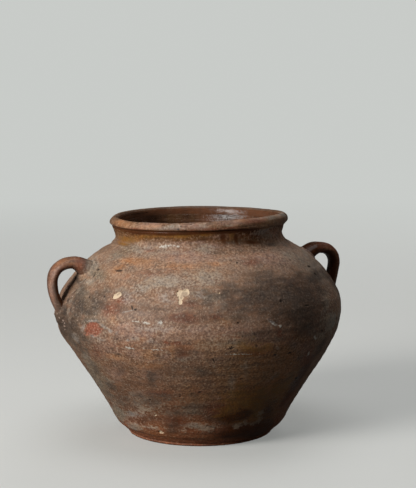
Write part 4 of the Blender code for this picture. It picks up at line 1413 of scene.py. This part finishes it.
def clay_finish(name, tones, layers, roughness, bump, grain):
    """Old fired clay: its tones in clouds, then streaks, marks, worn grains and specks.

    The tones are either a deep, a middle and a pale one, or those of the wall by height.
    The grain tells how strong the speckle is; the wall has less of it low down.
    """
    looks = finish_settings()
    material, tree, shader = new_finish(name)
    shader.inputs["Specular IOR Level"].default_value = CLAY_SPECULAR
    weather = place_group(tree, clay_weather(), {"Size": 1.0})
    out = weather.outputs
    if tones is WALL_TONES:
        height = add_node(tree, "ShaderNodeSeparateXYZ", {0: object_place(tree)}).outputs[2]
        warp = rescale(tree, out["Patch"], 0.0, 1.0, -TONES_WAVER, TONES_WAVER)
        base = tone_ramp(tree, calc(tree, "ADD", height, warp), 0.0, TONES_TOP, WALL_TONES)
        grain = rescale(tree, height, *SPECKLE_HEIGHTS, grain * LOW_SPECKLE, grain)
        base = shade_by(tree, base, out["Brush"], CLAY_SHADES["Brush"])
    else:
        deep, middle, pale = [colour4(tone) for tone in tones]
        base = blend(tree, rescale(tree, out["Patch"], *MIDDLE_SPAN), deep, middle)
        base = blend(tree, rescale(tree, out["Mottle"], *PALE_SPAN), base, pale)
    for noise in ("Cloud", "Streak"):
        base = shade_by(tree, base, out[noise], CLAY_SHADES[noise])
    soft = [layer for layer in MARK_LOOKS if layer in layers and layer not in SHARP_LAYERS]
    base, masks = add_marks(tree, base, soft, weather)
    base = shade_by(tree, base, out["Mottle"], CLAY_SHADES["Mottle"])
    tint = blend(tree, rescale(tree, out["Tint"], *TINT_SPAN), colour4(COOL_TINT),
                 colour4(WARM_TINT))
    base = blend(tree, 1.0, base, tint, "MULTIPLY")
    # The glazes hide the speckle, and so do the burnt marks, which are partly painted shade
    glazed_and_shaded = [masks[layer] for layer in ("amber", "burnt_and_shade", "glaze") if layer in masks]
    bare = 1.0
    for mask in glazed_and_shaded:
        bare = calc(tree, "MULTIPLY", bare, calc(tree, "SUBTRACT", 1.0, mask))
    bare = calc(tree, "MULTIPLY", bare, grain)
    speckle = calc(tree, "MULTIPLY", bare, looks.speckle)
    # Less speckle shows under smoke and under painted shade
    for layer in SMOKED_AND_SHADED_LAYERS:
        if layer in masks:
            smoke_and_shade = calc(tree, "MULTIPLY", masks[layer], SMOKE_AND_SHADE_COVER)
            clean = calc(tree, "SUBTRACT", 1.0, smoke_and_shade)
            speckle = calc(tree, "MULTIPLY", speckle, clean)
    base = add_grains(tree, base, out, looks.wear_colour, looks.grime_colour, bare, speckle)
    sharp = [layer for layer in SHARP_LAYERS if layer in layers]
    base, more = add_marks(tree, base, sharp, weather)
    masks.update(more)
    specks = place_group(tree, clay_specks(), SPECKS).outputs["Mask"]
    base = blend(tree, calc(tree, "MULTIPLY", specks, SPECK_STRENGTH), base,
                 colour4(SPECK_COLOUR))
    tree.links.new(base, shader.inputs["Base Color"])
    rough = rescale(tree, out["Patch"], 0.0, 1.0, roughness - ROUGHNESS_SPREAD,
                    roughness + ROUGHNESS_SPREAD)
    for layer, change in MARK_GLOSS.items():
        if layer in masks:
            rough = calc(tree, "ADD", rough, calc(tree, "MULTIPLY", masks[layer], change))
    tree.links.new(rough, shader.inputs["Roughness"])
    relief = calc(tree, "SUBTRACT", weighted(tree, out, CLAY_BUMPS),
                  calc(tree, "MULTIPLY", specks, SPECK_DEPTH))
    add_bump(tree, shader, relief, bump)
    return material


def liner_finish(name):
    """Glossy red-brown glaze that ran down the inside in streaks."""
    tones = finish_settings()
    material, tree, shader = new_finish(name)
    weather = place_group(tree, clay_weather(), {"Size": 1.0})
    out = weather.outputs
    deep = [share * LINER_DEEP for share in tones.liner]
    base = blend(tree, rescale(tree, out["Patch"], *LINER_SPAN), colour4(deep),
                 colour4(tones.liner))
    for noise, (hue, start, strength) in (("Wipe", LINER_RUNS), ("Mottle", LINER_THIN)):
        base = blend(tree, rescale(tree, out[noise], start, 1.0, 0.0, strength), base,
                     colour4(hue))
    tree.links.new(base, shader.inputs["Base Color"])
    rough = rescale(tree, out["Mottle"], 0.0, 1.0,
                    *[tones.liner_roughness + change for change in LINER_GLOSS])
    tree.links.new(rough, shader.inputs["Roughness"])
    add_bump(tree, shader, weighted(tree, out, LINER_BUMPS), LINER_BUMP)
    return material


def strap_path(stations, side):
    """Close stations on a strap's centre line: (x, height, half thickness, half width)."""
    path = smooth_path(np.array(stations), 5)
    path[:, 0] *= side
    half = np.stack([path[:, 2] * STRAP_THICKNESS / 2, path[:, 2] * STRAP_WIDTH / 2], 1)
    return np.hstack([path[:, :2], half])


def strap_mesh(name, stations, side, cuts):
    """Pulled strap: rings along its path, bridged, cut off inside the wall and closed."""
    path = strap_path(stations, side)
    piece = bmesh.new()
    turn_layer = piece.verts.layers.float.new("turn")
    reach_layer = piece.verts.layers.float.new("reach")
    along = np.gradient(path[:, :2], axis=0)
    before = None
    for index, (x, height, thick, wide) in enumerate(path):
        way = Vector((along[index][0], 0.0, along[index][1])).normalized()
        across = Vector((0.0, 1.0, 0.0))
        out = across.cross(way) * -side
        frame_columns = Matrix((out * thick, across * wide, way)).transposed().to_4x4()
        ring = bmesh.ops.create_circle(piece, segments=STRAP_SEGMENTS, radius=1.0,
                                       matrix=Matrix.Translation((x, 0.0, height)) @ frame_columns)
        edges = list(dict.fromkeys(edge for vert in ring["verts"] for edge in vert.link_edges))
        for vert in ring["verts"]:
            offset = vert.co - Vector((x, 0.0, height))
            vert[turn_layer] = math.atan2(offset.dot(across) / wide, offset.dot(out) / thick)
            vert[reach_layer] = index / (len(path) - 1)
        if before:
            bmesh.ops.bridge_loops(piece, edges=before + edges)
        before = edges
    for (place, normal), end in zip(cuts, (0.0, 1.0)):
        geom = [item for vert in piece.verts if abs(vert[reach_layer] - end) < STRAP_CUT_SHARE
                for item in (vert, *vert.link_edges, *vert.link_faces)]
        bmesh.ops.bisect_plane(piece, geom=list(dict.fromkeys(geom)), plane_co=place,
                               plane_no=normal, clear_inner=True)
    bmesh.ops.holes_fill(piece, edges=[edge for edge in piece.edges if edge.is_boundary])
    bmesh.ops.recalc_face_normals(piece, faces=piece.faces)
    return piece


def wall_plane(side, height, depth):
    """Point and outward normal of a plane under the wall's surface, in the straps' plane."""
    rise = LINE.rise_at(height)
    radius, level = LINE.offset(rise, -depth)
    beyond_radius, beyond_level = LINE.offset(rise, 1.0)
    normal = Vector(((beyond_radius - radius) * side, 0.0, beyond_level - level)).normalized()
    return Vector((radius * side, 0.0, level)), normal


def make_strap(name, stations, side, marks, finish):
    cuts = [wall_plane(side, height, STRAP_CUT_DEPTH)
            for height in (stations[1][1], stations[-2][1] - STRAP_CUT_DROP)]
    obj = finish_mesh(name, strap_mesh(name, stations, side, cuts), 60)
    mesh = obj.data
    points = read_points(mesh)
    path = strap_path(stations, side)
    reach = read_layer(mesh, "reach") * (len(path) - 1)
    centre = np.stack([np.interp(reach, range(len(path)), path[:, 0]), np.zeros(len(points)),
                       np.interp(reach, range(len(path)), path[:, 1])], 1)
    away = points - centre
    away /= np.maximum(np.linalg.norm(away, axis=1), 0.000001)[:, None]
    turn = read_layer(mesh, "turn")
    relief = lumps(points, STRAP_LUMPS[side]) + np.cos(3 * turn) * STRAP_FACETS
    write_points(mesh, points + away * relief[:, None])
    lengths = path_lengths(path[:, :2])
    along = np.interp(reach, range(len(path)), lengths)
    for layer, spots in marks.items():
        write_layer(mesh, layer, mark_field(turn, along, STRAP_MARK_RADIUS, spots))
    mesh.materials.append(finish)
    return obj


def strap_distance(points, path):
    """Distance of the points from a strap's surface."""
    best = np.full(len(points), 1.0)
    for (x, height, thick, wide), (x2, height2, _, _) in zip(path, path[1:]):
        way = np.array((x2 - x, 0.0, height2 - height))
        length = np.linalg.norm(way)
        way /= length
        away = points - np.array((x, 0.0, height))
        along = np.clip(away @ way, 0.0, length)
        away = away - along[:, None] * way
        span = np.linalg.norm(away, axis=1)
        plane = np.hypot(away[:, 0], away[:, 2])
        oval = np.sqrt((plane / thick) ** 2 + (away[:, 1] / wide) ** 2)
        best = np.minimum(best, span * (1 - 1 / np.maximum(oval, STRAP_CORE)))
    return best


def make_wad(name, finish, stations, side, height, spans, thickness, climb, seed):
    """Clay pressed round a root of a strap: a smeared pad that climbs the strap from below."""
    path = strap_path(stations, side)
    centre_rise = LINE.rise_at(height)
    radius, _ = LINE.offset(centre_rise, 0.0)
    middle = azimuth_of(np.array([[side, 0.0, 0.0]]))[0]
    half_across, half_along = spans
    piece = bmesh.new()
    bmesh.ops.create_grid(piece, x_segments=WAD_GRID[0], y_segments=WAD_GRID[1], size=1.0)
    across_layer = piece.verts.layers.float.new("across")
    along_layer = piece.verts.layers.float.new("along")
    sunk_layer = piece.verts.layers.float.new("sunk")
    for vert in piece.verts:
        vert[across_layer] = vert.co.x
        vert[along_layer] = vert.co.y
    raised = bmesh.ops.extrude_face_region(piece, geom=piece.faces[:])
    for item in raised["geom"]:
        if isinstance(item, bmesh.types.BMVert):
            item[sunk_layer] = 1.0
    obj = finish_mesh(name, piece, 70)
    mesh = obj.data
    across, along = read_layer(mesh, "across"), read_layer(mesh, "along")
    sunk = read_layer(mesh, "sunk")
    azimuth = middle + across * half_across / radius
    rise = centre_rise + along * half_along
    ground = skin(azimuth, rise, 0.0)
    reach = strap_distance(ground, path)
    edge = 1 - np.hypot(across, along)
    wavy = edge + lumps(ground, WAD_EDGES, seed)
    fullness = WAD_FULLNESS + lumps(ground, WAD_SWELLS, seed)
    pad = thickness * ease(wavy / PAD_RISE) * fullness
    fillet = min(FILLET_HEIGHT, FILLET_GROWTH * thickness)
    fillet = fillet * ease(1 - reach / FILLET_REACH) ** FILLET_HOLLOW
    below = ease(-along / CLIMB_DROP) * ease(wavy / CLIMB_RISE)
    fillet += climb * ease(1 - reach / CLIMB_REACH) * below
    feather = ease(wavy / FEATHER_RISE)
    rough = feather * lumps(ground, WAD_LUMPS, seed)
    lift = pad + fillet + rough - WAD_EDGE_DEPTH * (1 - feather)
    lift = np.where(edge < 0, np.minimum(lift, -WAD_CORNER_DEPTH), lift)
    lift = np.where(sunk > 0.5, -WAD_DEPTH, lift)
    write_points(mesh, skin(azimuth, rise, lift))
    ground_radius, _ = LINE.offset(rise, 0.0)
    write_wall_marks(mesh, azimuth, rise, ground_radius)
    shell = bmesh.new()
    shell.from_mesh(mesh)
    bmesh.ops.recalc_face_normals(shell, faces=shell.faces)
    shell.to_mesh(mesh)
    shell.free()
    mesh.materials.append(finish)
    return obj


class UrnOperator(bpy.types.Operator):
    """Base of the pot's operators"""

    bl_options = {"REGISTER", "UNDO"}


class URN_OT_base_disc(UrnOperator):
    """Model the base disc with its ragged rim"""

    bl_idname = "urn.base_disc"
    bl_label = "Base disc"

    def execute(self, context):
        _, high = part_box("base_disc")
        rim = high.x
        section = [(0.0, high.z), (PLUG_RADIUS, high.z), (PLUG_RADIUS, DISC_LEVEL)]
        start, end = PLUG_RADIUS + DISC_TOP_INSETS[0], rim - DISC_TOP_INSETS[1]
        section += [(radius, DISC_LEVEL) for radius in np.linspace(start, end, DISC_TOP_POINTS)]
        section += [(rim - inset, height) for inset, height in DISC_EDGE]
        section += [(radius, 0.0)
                    for radius in np.linspace(rim - DISC_BASE_INSET, 0.0, DISC_BASE_POINTS)]
        obj = finish_mesh("base_disc_fine", spun(section, False, DISC_STEPS), 50)
        azimuth, radius, height, _, _ = turned_arrays(obj)
        points = settle(azimuth, radius, height)
        edge = between(radius, *RAGGED_RADII) * between(height, *RAGGED_LEVELS)
        ragged = edge * lumps(points, DISC_LUMPS)
        write_points(obj.data, settle(azimuth, radius + ragged, height))
        obj.data.materials.append(clay_finish("Foot clay", FOOT_TONES, (), *FOOT_LOOK))
        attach(obj, "root")
        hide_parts("base_disc")
        return {"FINISHED"}


class URN_OT_walls(UrnOperator):
    """Throw the three members of the wall: lower wall, shoulder and collar"""

    bl_idname = "urn.walls"
    bl_label = "Thrown walls"

    def execute(self, context):
        foot, belly = [corner.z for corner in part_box("lower_wall")]
        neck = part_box("neck_collar")[0].z
        members = (
            ("lower_wall", foot, belly - SEAM_GAP, "wall_clay"),
            ("shoulder_wall", belly + SEAM_GAP, neck - SEAM_GAP, "wall_clay"),
            ("neck_collar", neck + SEAM_GAP, COLLAR_TOP[1], "collar_glaze"),
        )
        finish = clay_finish("Wall clay", WALL_TONES, WALL_MARKS,
                             finish_settings().wall_roughness, *WALL_LOOK)
        for name, low, high, slot in members:
            marks = [mark for layer in FINE_MARKS for mark in WALL_MARKS[layer]
                     if low + FINE_MARGIN < mark[1] < high - FINE_MARGIN]
            obj = wall_member(name + "_fine", low, high, finish, marks)
            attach(obj, "root")
            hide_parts(name)
        return {"FINISHED"}


class URN_OT_rolled_lip(UrnOperator):
    """Roll the lip over the collar's edge"""

    bl_idname = "urn.rolled_lip"
    bl_label = "Rolled lip"

    def execute(self, context):
        section = smooth_path(np.array(LIP_SECTION + LIP_SECTION[:1]), 3)[:-1]
        steps = shape_settings().turn_steps
        obj = finish_mesh("rolled_lip_fine", spun(section, True, steps), 60)
        azimuth, radius, level, _, _ = turned_arrays(obj)
        drop = fold_drop(azimuth, radius, level)
        height = level - drop
        tuck = TUCK_SHARE * between(np.abs(np.degrees(azimuth)), *TUCK_DEGREES)
        radius -= drop * tuck * between(level, *TUCK_LEVELS)
        points = settle(azimuth, radius, height)
        marked_height = height.copy()
        free = between(level, *LIP_FREE_LEVELS)
        slit = mark_field(azimuth, height, radius, LIP_MARKS["groove"])
        radius += free * (lumps(points, LIP_LUMPS) - ease(slit / 0.5) * SLIT_DEPTH)
        height += free * lumps(points, LIP_WAVES)
        write_points(obj.data, settle(azimuth, radius, height))
        for layer, marks in LIP_MARKS.items():
            write_layer(obj.data, layer, mark_field(azimuth, marked_height, radius, marks))
        inner = between(radius, *LIP_GLAZE_RADII) * 2 - 1
        glaze = np.minimum(inner, (LIP_GLAZE_TOP - level) / LIP_GLAZE_FADE)
        write_layer(obj.data, "glaze", glaze)
        # The fold's underside gets the burnt mark: burnt glaze and painted shade under the lip
        sag_share, most_sag = BURNT_AND_SHADE_SAG
        burnt_and_shade_top = BURNT_AND_SHADE_TOP - np.minimum(drop * sag_share, most_sag)
        outer = between(radius, *BURNT_AND_SHADE_RADII) * 2 - 1
        write_layer(obj.data, "burnt_and_shade", np.minimum((burnt_and_shade_top - level) / BURNT_AND_SHADE_FADE, outer))
        layers = tuple(LIP_MARKS) + ("glaze", "burnt_and_shade")
        obj.data.materials.append(clay_finish("Lip clay", LIP_TONES, layers, *LIP_LOOK))
        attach(obj, "root")
        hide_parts("rolled_lip")
        return {"FINISHED"}


class URN_OT_liner_glaze(UrnOperator):
    """Pour the glaze that lines the inside"""

    bl_idname = "urn.liner_glaze"
    bl_label = "Liner glaze"

    def execute(self, context):
        floor, top = [corner.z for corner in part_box("liner_glaze")]
        level = floor + LINER_FLOOR
        rises = np.linspace(0.0, LINE.rise[-1], LINER_FACE_POINTS)
        face, back = [[(r, z) for r, z in zip(*LINE.offset(rises, -(WALL + depth)))
                       if z > floor + LINER_START] for depth in (LINER_FACE, LINER_BACK)]
        floor_radius = face[0][0] - LINER_CORNER_REACH
        section = [(0.0, level)]
        section += [(r, level)
                    for r in np.linspace(LINER_FIRST_RING, floor_radius, LINER_FLOOR_POINTS)]
        start = np.array((floor_radius, level))
        corner = np.array((face[0][0] - LINER_CORNER_INSET, level))
        face = [(r, z) for r, z in face if z > floor + LINER_CORNER_HEIGHT]
        for share in np.linspace(0.0, 1.0, LINER_CORNER_POINTS)[1:-1]:
            bend = (start * (1 - share) ** 2 + 2 * corner * share * (1 - share)
                    + np.array(face[0]) * share ** 2)
            section.append(tuple(bend))
        section += face + [(face[-1][0], top)]
        section += [(back[-1][0], top)] + back[::-6] + [(back[0][0], floor), (0.0, floor)]
        obj = finish_mesh("liner_glaze_fine", spun(section, False, LINER_STEPS), 50)
        azimuth, radius, height, _, _ = turned_arrays(obj)
        points = settle(azimuth, radius, height)
        turn = azimuth + lumps(points, LINER_RING_SHIFTS)
        rings = np.sin(math.tau * height / LINER_RING_PITCH + turn) * LINER_RING_HEIGHT
        inward = (rings + lumps(points, LINER_LUMPS)) * between(height, *LINER_RING_LEVELS)
        inward *= ease((top - height) / LINER_TOP_FADE)
        radius -= np.maximum(inward, -LINER_CUT)
        write_points(obj.data, settle(azimuth, radius, height))
        obj.data.materials.append(liner_finish("Liner glaze"))
        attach(obj, "root")
        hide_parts("liner_glaze")
        return {"FINISHED"}


class URN_OT_strap_handles(UrnOperator):
    """Pull the two strap handles"""

    bl_idname = "urn.strap_handles"
    bl_label = "Strap handles"

    def execute(self, context):
        straps = (("left_handle", LEFT_STRAP, -1, LEFT_STRAP_MARKS, LEFT_STRAP_TONES),
                  ("right_handle", RIGHT_STRAP, 1, RIGHT_STRAP_MARKS, RIGHT_STRAP_SHADED_TONES))
        for name, stations, side, marks, tones in straps:
            finish = clay_finish(name + " clay", tones, marks, *STRAP_LOOK)
            obj = make_strap(name + "_fine", stations, side, marks, finish)
            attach(obj, "root")
            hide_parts(name)
        return {"FINISHED"}


class URN_OT_wads(UrnOperator):
    """Press the clay wads round the roots of the straps"""

    bl_idname = "urn.wads"
    bl_label = "Clay wads"

    def execute(self, context):
        finish = clay_finish("Wad clay", WALL_TONES, WALL_MARKS, *WAD_LOOK)
        for name, wad in WADS.items():
            obj = make_wad(name + "_fine", finish, *wad)
            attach(obj, "root")
            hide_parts(name)
        return {"FINISHED"}


def soft_lamp(name, level, turn, rise, distance, size, colour, glossy):
    """Square lamp seen from the pot at these angles; level is a white card's brightness."""
    clear_old(bpy.data.objects, name)
    lamp = bpy.data.lights.new(name, "AREA")
    lamp.shape = "SQUARE"
    lamp.size = size
    lamp.energy = level * math.pi ** 2 * distance ** 2
    lamp.color = colour
    obj = bpy.data.objects.new(name, lamp)
    bpy.context.scene.collection.objects.link(obj)
    turn, rise = math.radians(turn), math.radians(rise)
    out = (SIDE * math.sin(turn) + FRONT * math.cos(turn)) * math.cos(rise)
    out.z = math.sin(rise)
    place = Vector((0.0, 0.0, LAMP_TARGET)) + out * distance
    obj.matrix_world = Matrix.Translation(place) @ out.to_track_quat("Z", "Y").to_matrix().to_4x4()
    obj.visible_glossy = glossy


def floor_finish(stage):
    """Plain floor that fades into the backdrop away from the pot."""
    material, tree, shader = new_finish("Floor")
    path = add_node(tree, "ShaderNodeLightPath", {})
    mirrored = calc(tree, "MULTIPLY", path.outputs["Is Glossy Ray"], stage.mirrored)
    seen = calc(tree, "MAXIMUM", path.outputs["Is Camera Ray"], mirrored)
    clouds = rescale(tree, object_noise(tree, *FLOOR_NOISE), *FLOOR_CLOUDS)
    plain = blend(tree, clouds, colour4(stage.floor_colour), colour4(FLOOR_GREY))
    dim = [share * stage.bounce for share in stage.floor_colour]
    colour = blend(tree, seen, colour4(dim), plain)
    tree.links.new(colour, shader.inputs["Base Color"])
    shader.inputs["Roughness"].default_value = FLOOR_ROUGHNESS
    reach = add_node(tree, "ShaderNodeVectorMath", {0: object_place(tree)}, operation="LENGTH")
    far = rescale(tree, reach.outputs["Value"], *FLOOR_FADE)
    glow = add_node(tree, "ShaderNodeEmission", {"Color": colour4(stage.backdrop_colour)})
    mixed = add_node(tree, "ShaderNodeMixShader",
                     {0: calc(tree, "MULTIPLY", far, seen), 1: shader.outputs[0],
                      2: glow.outputs[0]})
    output = tree.nodes["Material Output"]
    tree.links.new(mixed.outputs[0], output.inputs["Surface"])
    return material


class URN_OT_stage(UrnOperator):
    """Set the plain floor, the soft lamps, the world and the camera"""

    bl_idname = "urn.stage"
    bl_label = "Stage"

    def execute(self, context):
        stage = stage_settings()
        floor = bmesh.new()
        bmesh.ops.create_circle(floor, cap_ends=True, segments=96, radius=FLOOR_RADIUS)
        obj = finish_mesh("floor", floor, 30)
        obj.data.materials.append(floor_finish(stage))
        for name, lamp in LAMPS.items():
            soft_lamp(name + "_lamp", getattr(stage, name + "_level"), *lamp)
        world = bpy.data.worlds.new("Studio")
        context.scene.world = world
        world.use_nodes = True
        tree = world.node_tree
        seen = add_node(tree, "ShaderNodeLightPath", {}).outputs["Is Camera Ray"]
        fill = colour4([stage.fill_level] * 3)
        tree.links.new(blend(tree, seen, fill, colour4(stage.backdrop_colour)),
                       tree.nodes["Background"].inputs["Color"])
        lens = bpy.data.cameras.new("camera")
        lens.sensor_width = SENSOR_WIDTH
        lens.lens = stage.lens
        lens.clip_start, lens.clip_end = CAMERA_CLIP
        camera = bpy.data.objects.new("camera", lens)
        context.scene.collection.objects.link(camera)
        tilt = Matrix.Rotation(math.radians(90) - CAMERA_PITCH, 4, "X")
        camera.matrix_world = (Matrix.Rotation(VIEW_TURN, 4, "Z")
                               @ Matrix.Translation(CAMERA_PLACE) @ tilt)
        context.scene.camera = camera
        context.scene.view_settings.view_transform = "Standard"
        return {"FINISHED"}


class URN_PT_panel(bpy.types.Panel):
    """Lists the urn's pieces and settings"""

    bl_idname = "URN_PT_panel"
    bl_label = "Twin-handled urn"
    bl_space_type = "VIEW_3D"
    bl_region_type = "UI"
    bl_category = "Urn"

    def draw(self, context):
        for operator in PIECE_OPERATORS:
            self.layout.operator(operator.bl_idname)
        for group in (context.scene.urn_shape, context.scene.urn_finish, context.scene.urn_stage):
            column = self.layout.column(align=True)
            for name in group.bl_rna.properties.keys():
                if name not in ("rna_type", "name"):
                    column.prop(group, name)


PIECE_OPERATORS = (URN_OT_base_disc, URN_OT_walls, URN_OT_rolled_lip, URN_OT_liner_glaze,
                   URN_OT_strap_handles, URN_OT_wads, URN_OT_stage)
SETTINGS = {"urn_shape": UrnShapeSettings, "urn_finish": UrnFinishSettings,
            "urn_stage": UrnStageSettings}
CLASSES = tuple(SETTINGS.values()) + PIECE_OPERATORS + (URN_PT_panel,)


def register():
    for made in CLASSES:
        bpy.utils.register_class(made)
    for name, group in SETTINGS.items():
        setattr(bpy.types.Scene, name, PointerProperty(type=group))


def unregister():
    for name in SETTINGS:
        delattr(bpy.types.Scene, name)
    for made in reversed(CLASSES):
        bpy.utils.unregister_class(made)


def main():
    register()
    bpy.ops.urn.base_disc()
    bpy.ops.urn.walls()
    bpy.ops.urn.rolled_lip()
    bpy.ops.urn.liner_glaze()
    bpy.ops.urn.strap_handles()
    bpy.ops.urn.wads()
    bpy.ops.urn.stage()


if __name__ == "__main__":
    main()
